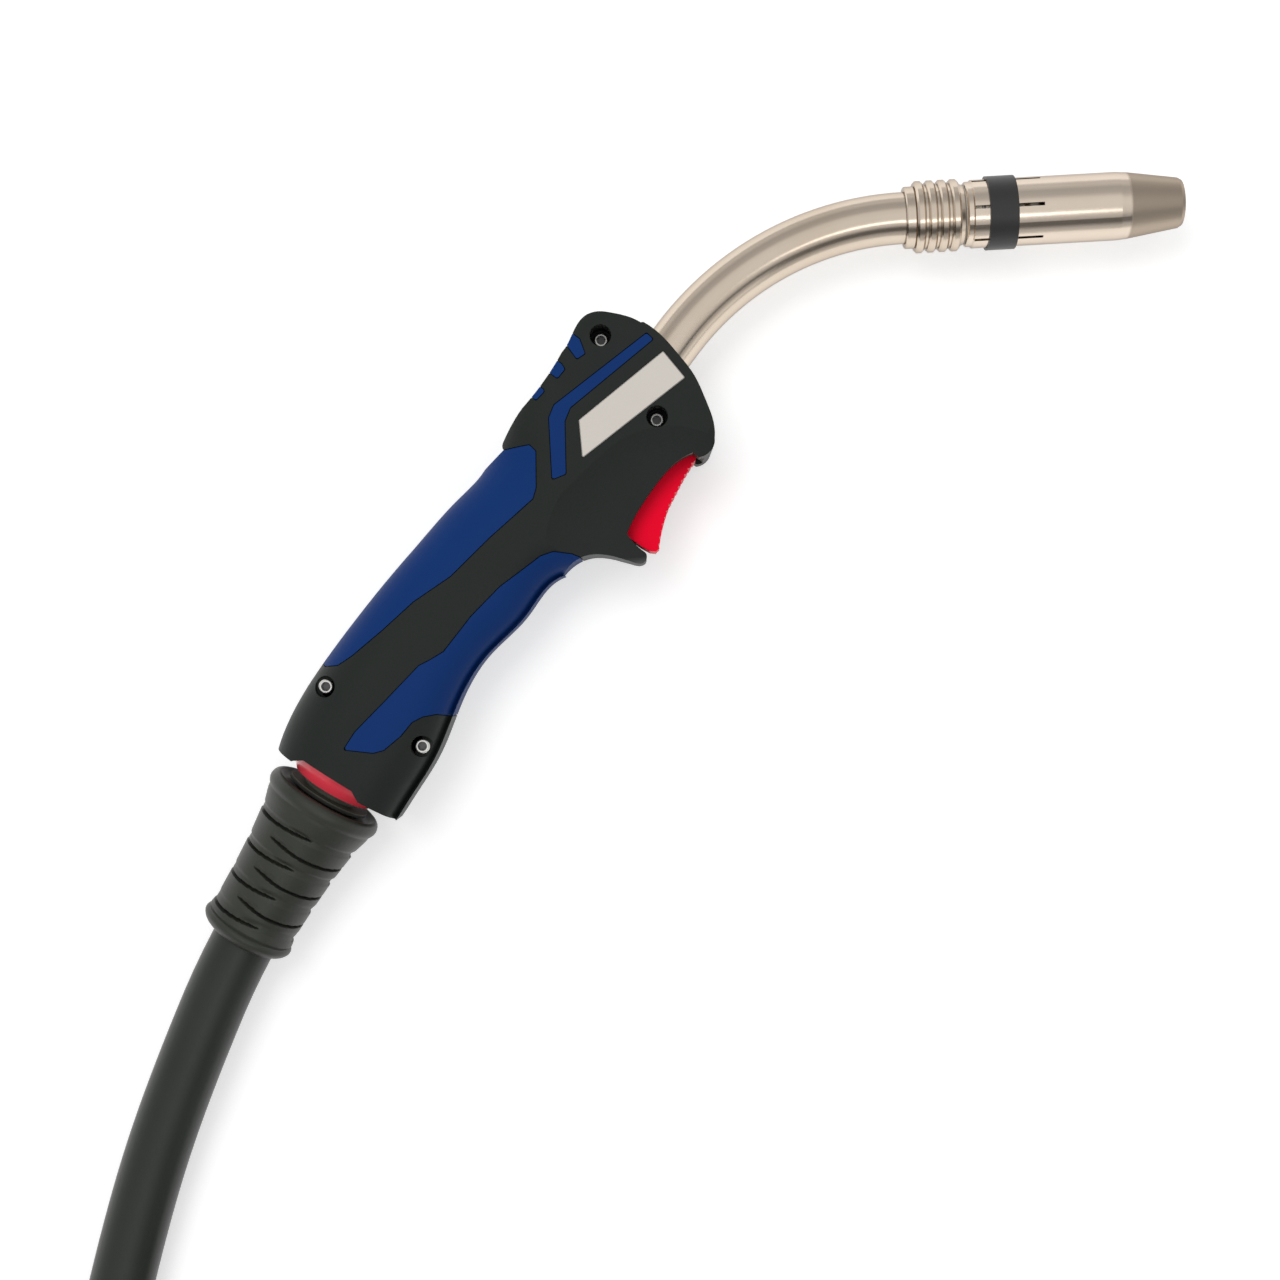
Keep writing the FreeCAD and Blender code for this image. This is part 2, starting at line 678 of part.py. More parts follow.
def tube(path, radius, bore=0.0):
    # a round tube, or a solid rod, drawn along a smooth path
    first_edge = path.OrderedEdges[0]
    start = first_edge.valueAt(first_edge.FirstParameter)
    way = first_edge.tangentAt(first_edge.FirstParameter)

    def swept(size):
        shell = Part.BRepOffsetAPI.MakePipeShell(path)
        shell.add(Part.Wire([Part.Circle(start, way, size).toShape()]))
        shell.build()
        shell.makeSolid()
        return shell.shape()

    return swept(radius).cut(swept(bore)) if bore else swept(radius)


wire_paths = [[vec(switch_start - 3.0, post_v, side * 2.0), vec(switch_start - 9, post_v + 0.4, side * 2.6),
               vec(switch_start - 19, wire_v - 0.4, side * wire_side),
               vec(22.0, wire_v, side * wire_side)] for side in (1, -1)]
wires = Part.makeCompound([tube(tangent_path(points)[0], num("wire_radius")) for points in wire_paths])
keep(feature("switch_wires", wires), HANDLE)

# Neck block and power core, on the neck's line inside the handle
BLOCK = HANDLE.multiply(facing(vec(block_start, neck_v), vec(1, 0)))
keep(turned("neck_block", [
    ("core_radius + fit_gap", "0"), ("block_radius - edge_chamfer", "0"),
    ("block_radius", "edge_chamfer"), ("block_radius", "block_length - edge_chamfer"),
    ("block_radius - edge_chamfer", "block_length"),
    ("neck_radius + fit_gap", "block_length"), ("neck_radius + fit_gap", "block_seat"),
    ("conductor_radius + fit_gap", "block_seat"), ("conductor_radius + fit_gap", "core_seat"),
    ("core_radius + fit_gap", "core_seat"),
]), BLOCK)
keep(turned("cable_union", [
    ("core_radius + fit_gap", "-union_length"), ("union_radius - edge_chamfer", "-union_length"),
    ("union_radius", "edge_chamfer - union_length"), ("union_radius", "-edge_chamfer - 0.1"),
    ("union_radius - edge_chamfer", "-0.1"), ("core_radius + fit_gap", "-0.1"),
]), BLOCK)
keep(turned("power_core_front", [
    ("liner_radius + fit_gap", "core_end - block_start"), ("core_radius", "core_end - block_start"),
    ("core_radius", "core_seat - 0.1"), ("liner_radius + fit_gap", "core_seat - 0.1"),
]), BLOCK)

# Swan neck: four tubes inside each other on one bent line
bend = math.radians(num("neck_bend_angle"))
bend_start = num("head_front + neck_stub")
bend_radius = num("neck_bend_radius")
bend_end = vec(bend_start + bend_radius * math.sin(bend), neck_v - bend_radius * (1 - math.cos(bend)))
nozzle_way = vec(math.cos(bend), -math.sin(bend))
NOZZLE = HANDLE.multiply(facing(bend_end, nozzle_way))


def neck_line(start, end):
    # from a place on the handle to a distance past the bend
    middle = vec(bend_start + bend_radius * math.sin(bend / 2),
                 neck_v - bend_radius * (1 - math.cos(bend / 2)))
    tip = bend_end.add(FreeCAD.Vector(nozzle_way).multiply(end))
    return Part.Wire([Part.LineSegment(vec(start, neck_v), vec(bend_start, neck_v)).toShape(),
                      Part.Arc(vec(bend_start, neck_v), middle, bend_end).toShape(),
                      Part.LineSegment(bend_end, tip).toShape()])


neck_parts = {
    "swan_neck_tube": ("block_start + block_seat + 0.1", "neck_seat_depth", "neck_radius",
                       "neck_radius - neck_wall"),
    "neck_insulation": ("block_start + block_seat + 0.2", "insulation_end", "insulation_radius",
                        "conductor_radius + fit_gap"),
    "inner_conductor": ("block_start + core_seat + 0.1", "conductor_end", "conductor_radius",
                        "conductor_bore"),
    "wire_liner": ("core_end + 0.5", "liner_end", "liner_radius", "liner_bore"),
}
for name, (start, end, radius, bore) in neck_parts.items():
    keep(feature(name, tube(neck_line(num(start), num(end)), num(radius), num(bore))), HANDLE)

# Finned end of the neck
fins = []
for fin in range(int(num("fin_count"))):
    at = f"head_start + head_collar_length + 0.3 + {fin} * fin_pitch"
    fins += [("fin_root_radius", at), ("fin_radius - edge_chamfer", at),
             ("fin_radius", at + " + edge_chamfer"),
             ("fin_radius", at + " + fin_width - edge_chamfer"),
             ("fin_radius - edge_chamfer", at + " + fin_width"),
             ("fin_root_radius", at + " + fin_width")]
keep(turned("neck_head", [
    ("neck_radius + fit_gap", "head_start"), ("head_collar_radius - 0.3", "head_start"),
    ("head_collar_radius", "head_start + 0.3"), ("head_collar_radius", "head_start + head_collar_length"),
    ("fin_root_radius - 0.5", "head_start + head_collar_length + 0.15"),
] + fins + [
    ("fin_root_radius - 0.6", "nozzle_start - 0.5"), ("spigot_radius", "nozzle_start - 0.5"),
    ("spigot_radius", "nozzle_start + spigot_length"),
    ("conductor_radius + fit_gap", "nozzle_start + spigot_length"),
    ("conductor_radius + fit_gap", "insulation_end + 0.1"),
    ("insulation_radius + fit_gap", "insulation_end + 0.1"),
    ("insulation_radius + fit_gap", "neck_seat_depth + 0.1"),
    ("neck_radius + fit_gap", "neck_seat_depth + 0.1"),
]), NOZZLE)

# Inside the nozzle: insulating seat with its snap ring, holder, diffuser and contact tip
keep(turned("nozzle_seat", [
    ("spigot_radius + fit_gap", "seat_start"), ("nozzle_bore - 0.35", "seat_start"),
    ("nozzle_bore - 0.05", "seat_start + 0.3"),
    ("nozzle_bore - 0.05", "seat_start + spring_place - spring_wire"),
    ("nozzle_bore - 0.95", "seat_start + spring_place - spring_wire"),
    ("nozzle_bore - 0.95", "seat_start + spring_place + spring_wire"),
    ("nozzle_bore - 0.05", "seat_start + spring_place + spring_wire"),
    ("nozzle_bore - 0.05", "seat_start + seat_length - 0.5"),
    ("nozzle_bore - 0.55", "seat_start + seat_length"),
    ("holder_radius + fit_gap", "seat_start + seat_length"),
    ("holder_radius + fit_gap", "nozzle_start + spigot_length + 0.1"),
    ("spigot_radius + fit_gap", "nozzle_start + spigot_length + 0.1"),
]), NOZZLE)
ring = doc.addObject("Part::Torus", "snap_ring")
ring.setExpression("Radius1", "sizes.nozzle_bore - 0.15 - sizes.spring_wire")
ring.setExpression("Radius2", "sizes.spring_wire - 0.12")
doc.recompute()
keep(ring, NOZZLE.multiply(FreeCAD.Placement(vec(0, 0, num("seat_start + spring_place")),
                                             FreeCAD.Rotation())))
keep(turned("tip_holder", [
    ("tip_shank_radius - 0.5", "conductor_end + 0.1"), ("conductor_radius", "conductor_end + 0.1"),
    ("conductor_radius", "nozzle_start + spigot_length + 0.1"),
    ("holder_radius", "nozzle_start + spigot_length + 0.1"),
    ("holder_radius", "holder_end - 0.4"), ("holder_radius - 0.4", "holder_end"),
    ("tip_shank_radius + fit_gap", "holder_end"), ("tip_shank_radius + fit_gap",
                                                   "holder_end - tip_shank_length - 0.1"),
    ("tip_shank_radius - 0.5", "holder_end - tip_shank_length - 0.1"),
]), NOZZLE)

diffuser = new_body("gas_diffuser")
sketch = closed_sketch(diffuser, "gas_diffuser_outline", "XZ_Plane", [
    ("holder_radius + fit_gap", "diffuser_start"), ("diffuser_radius", "diffuser_start"),
    ("diffuser_radius", "diffuser_start + diffuser_length - edge_chamfer"),
    ("diffuser_radius - edge_chamfer", "diffuser_start + diffuser_length"),
    ("holder_radius + fit_gap", "diffuser_start + diffuser_length")])
turn = diffuser.newObject("PartDesign::Revolution", "gas_diffuser_turn")
turn.Profile = sketch
turn.ReferenceAxis = (sketch, ["V_Axis"])
turn.Angle = 360
hole_sketch = diffuser.newObject("Sketcher::SketchObject", "gas_hole_outline")
hole_sketch.AttachmentSupport = (origin_plane(diffuser, "XZ_Plane"), [""])
hole_sketch.MapMode = "FlatFace"
hole_sketch.addGeometry(Part.Circle(vec(0, num("diffuser_start + diffuser_length * 0.6")), vec(0, 0, 1),
                                    num("gas_hole_radius")), False)
hole_sketch.addConstraint(Sketcher.Constraint("PointOnObject", 0, 3, -2))
hole_sketch.addConstraint(Sketcher.Constraint("DistanceY", -1, 1, 0, 3,
                                              num("diffuser_start + diffuser_length * 0.6")))
hole_sketch.setExpression("Constraints[1]", bound("diffuser_start + diffuser_length * 0.6"))
hole_sketch.addConstraint(Sketcher.Constraint("Radius", 0, num("gas_hole_radius")))
hole_sketch.setExpression("Constraints[2]", bound("gas_hole_radius"))
hole = diffuser.newObject("PartDesign::Pocket", "gas_hole")
hole.Profile = hole_sketch
hole.Type = "ThroughAll"
hole.Midplane = True
holes = diffuser.newObject("PartDesign::PolarPattern", "gas_holes")
holes.Originals = [hole]
holes.Axis = (sketch, ["V_Axis"])
holes.Angle = 180 - 360 / num("gas_hole_count")
holes.Occurrences = int(num("gas_hole_count")) // 2
diffuser.Tip = holes
keep(diffuser, NOZZLE)

keep(turned("contact_tip", [
    ("tip_bore", "nozzle_start + nozzle_length - tip_recess"),
    ("tip_bore", "holder_end + 2"), ("tip_bore + 0.9", "holder_end"),
    ("tip_bore + 0.9", "holder_end - tip_shank_length"),
    ("tip_shank_radius", "holder_end - tip_shank_length"), ("tip_shank_radius", "holder_end + 0.05"),
    ("tip_radius", "holder_end + 0.05"), ("tip_radius", "nozzle_start + nozzle_length - tip_recess - 3.5"),
    ("tip_radius - 1.2", "nozzle_start + nozzle_length - tip_recess"),
]), NOZZLE)

# Gas nozzle: a slotted skirt, a plain barrel and a cone down to the mouth
nozzle = new_body("gas_nozzle")
sketch = closed_sketch(nozzle, "gas_nozzle_outline", "XZ_Plane", [
    ("nozzle_bore", "nozzle_start"), ("nozzle_ring_radius - 0.4", "nozzle_start"),
    ("nozzle_ring_radius", "nozzle_start + 0.4"), ("nozzle_ring_radius",
                                                   "nozzle_start + nozzle_ring_length"),
    ("nozzle_radius", "nozzle_start + nozzle_ring_length + 0.3"),
    ("nozzle_radius", "nozzle_start + nozzle_shoulder - 3"),
    ("nozzle_radius - 0.25", "nozzle_start + nozzle_shoulder"),
    ("nozzle_mouth_radius", "nozzle_start + nozzle_length - 1.0"),
    ("nozzle_mouth_radius - 0.6", "nozzle_start + nozzle_length"),
    ("nozzle_mouth_bore + 0.2", "nozzle_start + nozzle_length"),
    ("nozzle_mouth_bore", "nozzle_start + nozzle_length - 0.4"),
    ("nozzle_mouth_bore", "nozzle_start + nozzle_length - 2.5"),
    ("nozzle_bore", "nozzle_start + nozzle_shoulder"),
])
turn = nozzle.newObject("PartDesign::Revolution", "gas_nozzle_turn")
turn.Profile = sketch
turn.ReferenceAxis = (sketch, ["V_Axis"])
turn.Angle = 360
doc.recompute()
before_slots = nozzle.Shape.Volume
slot_sketch = closed_sketch(nozzle, "slot_outline", "XZ_Plane", [
    ("-slot_width / 2", "nozzle_start + nozzle_ring_length + 0.3"),
    ("slot_width / 2", "nozzle_start + nozzle_ring_length + 0.3"),
    ("slot_width / 2", "nozzle_start + slot_length"), ("-slot_width / 2", "nozzle_start + slot_length")])
slot = nozzle.newObject("PartDesign::Pocket", "slot")
slot.Profile = slot_sketch
slot.Type = "ThroughAll"
slot.Midplane = True
slots = nozzle.newObject("PartDesign::PolarPattern", "slots")
slots.Originals = [slot]
slots.Axis = (sketch, ["V_Axis"])
slots.Angle = 180 - 360 / num("slot_count")
slots.Occurrences = int(num("slot_count")) // 2
nozzle.Tip = slots
doc.recompute()
print("metal that the slots take away", round(before_slots - nozzle.Shape.Volume, 1))
keep(nozzle, NOZZLE.multiply(turned_by(num("slot_turn"))))

band_bore = num("nozzle_radius + 0.06")
band_end = num("nozzle_start + band_start + band_length")
band = Part.makeCylinder(band_bore + num("band_thickness"), num("band_length"),
                         vec(0, 0, band_end - num("band_length")))
band = band.cut([Part.makeCylinder(band_bore, 60), box(vec(0, -num("band_slit") / 2, 0),
                                                       vec(20, num("band_slit") / 2, 60))])
keep(feature("nozzle_band", band),
     NOZZLE.multiply(turned_by(num("band_turn"))))

# Ball joint at the handle's tail: a ring that turns in the handle, a ball collar inside it
side_angle = math.radians(num("relief_side_angle"))
drop_angle = math.radians(num("relief_drop_angle"))
relief_way = vec(-math.cos(side_angle) * math.cos(drop_angle),
                 -math.sin(side_angle) * math.cos(drop_angle), -math.sin(drop_angle))
RELIEF = HANDLE.multiply(facing(ball, relief_way))


def upright(radius, low, high):
    return Part.makeCylinder(radius, high - low, vec(0, 0, low))


def ball_slice(radius, low, high):
    return Part.makeSphere(radius).common(upright(radius + 1, low, high))


ring_back = num("ring_back")
ball_ring = ball_slice(num("ball_radius"), -num("ring_front"), ring_back)
ball_ring = ball_ring.cut([Part.makeSphere(num("inner_ball_radius + ball_gap")),
                           upright(num("ring_mouth_radius"), 0, ring_back + 1)])
keep(feature("ball_ring", ball_ring), RELIEF)

collar_start = num("collar_start")
swivel_start = num("collar_start + collar_thickness")
swivel_end = num("collar_start + collar_thickness + swivel_length")
collar = ball_slice(num("inner_ball_radius"), -num("inner_ball_front"), 9)
collar = collar.multiFuse([
    upright(num("collar_neck_radius"), 0, collar_start + 0.5),
    upright(num("collar_radius"), collar_start, swivel_start),
    upright(num("swivel_radius"), swivel_start - 0.5, swivel_end),
    upright(num("swivel_lip_radius"), swivel_end - num("swivel_lip_length"), swivel_end)])
keep(feature("swivel_collar", collar.cut(upright(num("collar_bore"), -20, 40))), RELIEF)

# Bend relief: a flange, steps that taper like saw teeth with slanted slots, a lower flange
relief_start = "collar_start + collar_thickness + 0.1"
lip_start = "collar_start + collar_thickness + swivel_length - swivel_lip_length"
steps = []
for step in range(int(num("relief_step_count"))):
    at = f"relief_steps_start + {step} * relief_step_length"
    radius = f"relief_body_radius - {step} * relief_step"
    steps += [(radius, at + " + 0.4"), (radius + " - relief_tooth", at + " + relief_step_length")]
relief_low_start = "relief_steps_start + relief_step_count * relief_step_length"
relief = turned("bend_relief", [
    ("swivel_radius + swivel_gap", relief_start), ("relief_top_radius - 0.9", relief_start),
    ("relief_top_radius", relief_start + " + 0.9"), ("relief_top_radius",
                                                     relief_start + " + relief_rim - 0.9"),
    ("relief_top_radius - 0.8", relief_start + " + relief_rim"),
] + steps + [
    ("relief_low_radius - 0.6", relief_low_start), ("relief_low_radius", relief_low_start + " + 0.8"),
    ("relief_low_radius", relief_low_start + " + 2.6"),
    ("relief_low_radius - 0.8", relief_low_start + " + 3.4"),
    ("cable_radius + 1.6", "relief_end"), ("cable_radius + relief_flare", "relief_end"),
    ("cable_radius + cable_clearance", "relief_end - relief_flare_length"),
    ("cable_radius + cable_clearance", lip_start + " + swivel_lip_length + 0.1"),
    ("swivel_lip_radius + swivel_gap", lip_start + " + swivel_lip_length + 0.1"),
    ("swivel_lip_radius + swivel_gap", lip_start + " - 0.1"),
    ("swivel_radius + swivel_gap", lip_start + " - 0.1"),
])
slots = []
slot_cut = num("slot_cut")
for step in range(int(num("relief_step_count"))):
    for share, start_angle in ((0.3, -10), (0.8, -175)):
        at = num(f"relief_steps_start + ({step} + {share}) * relief_step_length")
        slot = Part.makeCylinder(25, slot_cut, vec(0, 0, at), vec(0, 0, 1), num("slot_arc"))
        slot = slot.cut(upright(num(f"relief_body_radius - {step} * relief_step - slot_depth"), at - 1,
                                at + 2))
        slot.rotate(vec(0, 0, at), vec(0, 0, 1), start_angle)
        slot.rotate(vec(0, 0, at), vec(0, 1, 0), num("slot_slant"))
        slots.append(slot)
relief_solid = relief.Shape.cut(slots)
doc.removeObject(relief.Label)
keep(feature("bend_relief", relief_solid), RELIEF)

core_rear = upright(num("core_radius"), 0, num("ferrule_end - 0.1"))
core_rear = core_rear.cut(upright(num("liner_radius + fit_gap"), -1, 60))
keep(feature("power_core_rear", core_rear), RELIEF)
keep(turned("crimp_ferrule", [
    ("core_radius + 0.05", "ferrule_start"), ("ferrule_radius - 0.5", "ferrule_start"),
    ("ferrule_radius", "ferrule_start + 0.5"), ("ferrule_radius", "ferrule_start + 5"),
    ("ferrule_radius - 0.5", "ferrule_start + 5.5"), ("ferrule_radius - 0.5", "ferrule_start + 7"),
    ("ferrule_radius", "ferrule_start + 7.5"), ("ferrule_radius", "ferrule_end - 0.1"),
    ("core_radius + 0.05", "ferrule_end - 0.1"),
]), RELIEF)

# Cable: a lead that falls to the floor, a coil in two layers, a tail to the plug
cable_radius = num("cable_radius")
low_layer = cable_radius + 0.05
lead_route = [
    RELIEF.multVec(vec(0, 0, num("ferrule_end"))), RELIEF.multVec(vec(0, 0, num("lead_straight"))),
    vec(-148.67, -145.39, 12.6), vec(-159.17, -173.39, 10.7), vec(-167.17, -201.39, 9.7),
    vec(-174.17, -231.39, low_layer), vec(-180.67, -261.89, low_layer),
    vec(-187.67, -296.39, low_layer), vec(-187.67, -328.39, low_layer)]
coil_middle = vec(lead_route[-1].x + num("coil_outer_radius"), -348.39)
PLUG = facing(vec(153.58, -468.09, num("plug_nut_radius")), vec(1, 0))


def coil_place(turn):
    # the place and heading of the coil's line after a number of turns from its outer end
    half_way = num("coil_turns")
    pitch = num("coil_pitch")
    inner_radius = num("coil_outer_radius") - half_way * pitch
    reach = abs(turn - half_way)
    radius = inner_radius + reach * pitch
    angle = math.pi * (1 + 2 * turn)
    out = vec(math.cos(angle), math.sin(angle))
    around = vec(-math.sin(angle), math.cos(angle))
    slope = 0.0 if reach < 0.01 or turn == 0 else math.copysign(pitch / (2 * math.pi * radius),
                                                                turn - half_way)
    climb = min(1, max(-1, (turn - half_way) * 4))
    rise = 0.5 + climb - math.copysign(climb * climb / 2, climb)
    steepness = pitch * 4 * (1 - abs(climb)) / (2 * math.pi * radius)
    place = coil_middle.add(out.multiply(radius))
    place.z = low_layer + pitch * rise
    out = vec(math.cos(angle), math.sin(angle), 0)
    heading = around.add(out.multiply(slope)).add(vec(0, 0, steepness)).normalize()
    return place, heading


def arc_pair(start, start_way, end, end_way):
    # two arcs that meet smoothly and leave and arrive along the ways given
    line = end.sub(start)
    ways = start_way.add(end_way)
    square = 2 * start_way.dot(end_way) - 2
    middle = line.dot(ways)
    reach = (middle - math.sqrt(middle * middle - square * line.dot(line))) / square
    first_corner = start.add(FreeCAD.Vector(start_way).multiply(reach))
    second_corner = end.sub(FreeCAD.Vector(end_way).multiply(reach))
    meeting = first_corner.add(second_corner).multiply(0.5)
    arcs = []
    for a, corner, b in ((start, first_corner, meeting), (meeting, second_corner, end)):
        turn = corner.sub(a).getAngle(b.sub(corner))
        weight = math.cos(turn / 2)
        through = a.add(b).add(FreeCAD.Vector(corner).multiply(2 * weight)).multiply(0.5 / (1 + weight))
        arcs.append(Part.Arc(a, through, b).toShape())
    return arcs


quarters = [0.25 * quarter for quarter in range(int(num("coil_turns") * 4) + 9)]
coil_stations = [coil_place(turn) for turn in quarters]
lead_in = lead_route[-1]
coil_edges = [Part.LineSegment(lead_in, coil_stations[0][0]).toShape()]
for (one, one_way), (two, two_way) in zip(coil_stations, coil_stations[1:]):
    coil_edges += arc_pair(one, one_way, two, two_way)
coil_end, coil_way = coil_stations[-1]
tail_start = coil_end.add(FreeCAD.Vector(coil_way).multiply(2 * cable_radius))
coil_edges.append(Part.LineSegment(coil_end, tail_start).toShape())
tail_route = [
    tail_start, tail_start.add(FreeCAD.Vector(coil_way).multiply(num("coil_lead_out"))),
    PLUG.multVec(vec(0, 0, num("plug_body_start - plug_lead_in"))),
    PLUG.multVec(vec(0, 0, num("plug_body_start")))]

coil_path = Part.Wire(coil_edges)
lead_path, lead_radii = tangent_path(lead_route)
tail_path, tail_radii = tangent_path(tail_route)
cable_paths = {"cable_lead": lead_path, "cable_coil": coil_path, "cable_tail": tail_path}
print("radii of the lead's bends", [round(r) for r in lead_radii])
print("radii of the tail's bends", [round(r) for r in tail_radii])
print("cable length", [round(path.Length) for path in cable_paths.values()],
      round(sum(path.Length for path in cable_paths.values())))
samples = coil_path.discretize(Number=1200)
spacing = coil_path.Length / 1199
apart = int(100 / spacing)
least = min(a.distanceToPoint(b) for i, a in enumerate(samples) for b in samples[i + apart:])
print("least gap between the coil's loops", round(least - 2 * cable_radius, 2))
section = math.pi * cable_radius ** 2
for name, path in cable_paths.items():
    shape = tube(path, cable_radius)
    print(name, "share of section times length", round(shape.Volume / (section * path.Length), 4))
    keep(feature(name, shape), FreeCAD.Placement())

# Central connector
keep(turned("plug_pin", [
    ("plug_bore", "plug_pin_start"), ("plug_pin_radius", "plug_pin_start"),
    ("plug_pin_radius", "o_ring_place - o_ring_wire - 0.1"),
    ("plug_pin_radius - 0.9", "o_ring_place - o_ring_wire - 0.1"),
    ("plug_pin_radius - 0.9", "o_ring_place + o_ring_wire + 0.1"),
    ("plug_pin_radius", "o_ring_place + o_ring_wire + 0.1"),
    ("plug_pin_radius", "plug_pin_reach - 0.6"), ("plug_pin_radius - 0.6", "plug_pin_reach"),
    ("plug_bore", "plug_pin_reach"),
]), PLUG)
keep(turned("plug_body", [
    ("plug_bore", "plug_body_start + 0.1"), ("cable_radius", "plug_body_start + 0.1"),
    ("cable_radius", "plug_body_start + 18"), ("plug_body_radius", "plug_body_start + 18"),
    ("plug_body_radius", "plug_pin_start - 0.1"), ("plug_bore", "plug_pin_start - 0.1"),
]), PLUG)
keep(turned("plug_ferrule", [
    ("cable_radius + 0.08", "plug_body_start - 4.3"), ("cable_radius + 1.2", "plug_body_start - 4.3"),
    ("cable_radius + 1.2", "plug_body_start + 5"), ("cable_radius + 0.08", "plug_body_start + 5"),
]), PLUG)
ring = doc.addObject("Part::Torus", "o_ring")
ring.setExpression("Radius1", "sizes.plug_pin_radius - 0.85 + sizes.o_ring_wire")
ring.setExpression("Radius2", "sizes.o_ring_wire")
doc.recompute()
keep(ring, PLUG.multiply(FreeCAD.Placement(vec(0, 0, num("o_ring_place")), FreeCAD.Rotation())))
keep(turned("liner_nut", [
    ("liner_bore", "plug_pin_reach + 0.1"), ("liner_nut_radius", "plug_pin_reach + 0.1"),
    ("liner_nut_radius", "plug_pin_reach + liner_nut_length - 0.5"),
    ("liner_nut_radius - 0.5", "plug_pin_reach + liner_nut_length"),
    ("liner_bore", "plug_pin_reach + liner_nut_length"),
]), PLUG)

pin_side = num("plug_pin_side")
face_start = num("plug_face_start")
face_end = num("plug_face_start + plug_face_length")
insulator = upright(num("plug_face_radius"), face_start, face_end)
insulator = insulator.makeChamfer(0.5, [e for e in insulator.Edges if e.BoundBox.ZMin > face_end - 0.01])
pin_ways = [Part.makeCylinder(num("contact_pin_radius + 0.1"), 20, vec(side * pin_side, 0, face_start - 4))
            for side in (1, -1)]
insulator = insulator.cut(pin_ways + [upright(num("plug_pin_radius + fit_gap"), -40, 10)])
keep(feature("plug_insulator", insulator), PLUG)
contact_length = num("contact_pin_reach + plug_face_length - 2 + 4")
for name, side in (("contact_pin_a", 1), ("contact_pin_b", -1)):
    contact = Part.makeCylinder(num("contact_pin_radius"), contact_length,
                                vec(side * pin_side, 0, face_start + 2))
    contact = contact.makeFillet(0.8, [e for e in contact.Edges if e.BoundBox.ZMin > face_end + 1])
    keep(feature(name, contact), PLUG)

nut = turned("connector_nut", [
    ("plug_neck_radius + 0.3", "plug_nut_front - plug_nut_length"),
    ("plug_nut_radius - 1", "plug_nut_front - plug_nut_length"),
    ("plug_nut_radius", "plug_nut_front - plug_nut_length + 1"),
    ("plug_nut_radius", "plug_nut_front - 1"), ("plug_nut_radius - 1", "plug_nut_front"),
    ("plug_nut_bore", "plug_nut_front"), ("plug_nut_bore", "plug_face_start - 0.2"),
    ("plug_neck_radius + 0.3", "plug_face_start - 0.2"),
])
grips = int(num("nut_grip_count"))
notches = []
for grip in range(grips):
    angle = 2 * math.pi * (grip + 0.5) / grips
    reach = num("plug_nut_radius + nut_grip_radius - 1.2")
    notches.append(Part.makeCylinder(num("nut_grip_radius"), 40,
                                     vec(reach * math.cos(angle), reach * math.sin(angle), -30)))
nut_solid = nut.Shape.cut(notches)
doc.removeObject(nut.Label)
keep(feature("connector_nut", nut_solid), PLUG)

housing_wall = num("plug_shell_wall")
outer_line = [(num("plug_neck_radius"), face_start - 0.1), (num("plug_neck_radius"), face_start - 2.6),
              (num("plug_shell_radius - 0.8"), face_start - 2.6),
              (num("plug_shell_radius"), face_start - 3.4),
              (num("plug_shell_radius"), -34.0), (num("plug_shell_back_radius"), -62.0),
              (num("plug_shell_back_radius"), num("plug_shell_end"))]
inner_line = [(num("cable_radius + 1.9"), num("plug_shell_end")),
              (num("cable_radius + 1.9"), num("plug_shell_end + 2.1")),
              (num("plug_shell_back_radius") - housing_wall, num("plug_shell_end + 2.1")),
              (num("plug_shell_back_radius") - housing_wall, -61.0),
              (num("plug_shell_radius") - housing_wall, -33.0),
              (num("plug_shell_radius") - housing_wall, -23.0),
              (num("plug_body_radius + 0.1"), -23.0),
              (num("plug_body_radius + 0.1"), num("plug_pin_start")),
              (num("plug_pin_radius + 0.1"), num("plug_pin_start")),
              (num("plug_pin_radius + 0.1"), face_start - 0.1)]
profile = [vec(r, 0, z) for r, z in outer_line + inner_line]
housing = Part.Face(Part.makePolygon(profile + profile[:1])).revolve(vec(), vec(0, 0, 1), 180)
solid_line = [vec(0, 0, face_start - 0.1)] + profile[:len(outer_line)] + [vec(0, 0, num("plug_shell_end"))]
whole = Part.Face(Part.makePolygon(solid_line + solid_line[:1])).revolve(vec(), vec(0, 0, 1), 180)
plug_screw_places = [vec(12.4, 0, -40), vec(-12.4, 0, -40)]


def sideways(point, radius, low, high):
    # a rod across the connector, from one housing half to the other
    return Part.makeCylinder(radius, high - low, vec(point.x, low, point.z), vec(0, 1, 0))


bosses = whole.common(Part.makeCompound([sideways(p, 3.1, 0, 20) for p in plug_screw_places]))
housing = housing.multiFuse(bosses.Solids).cut(pin_ways)
near_half = housing.cut([sideways(p, num("screw_shank_radius + 0.06"), -1, 20) for p in plug_screw_places] +
                        [sideways(p, num("screw_head_radius + 0.2"), 8, 20) for p in plug_screw_places])
far_half = housing.cut([sideways(p, num("screw_shank_radius + 0.06"), -1, 9) for p in plug_screw_places])
keep(feature("plug_housing_right", near_half), PLUG)
keep(feature("plug_housing_left", far_half.mirror(vec(), vec(0, 1, 0))), PLUG)
plug_screws = []
for p in plug_screw_places:
    head = sideways(p, num("screw_head_radius"), 8, 10)
    shank = sideways(p, num("screw_shank_radius"), -8, 8)
    plug_screws.append(head.fuse(shank).cut(sideways(p, 1.0, 9, 11)))
keep(feature("plug_screws", Part.makeCompound(plug_screws)), PLUG)
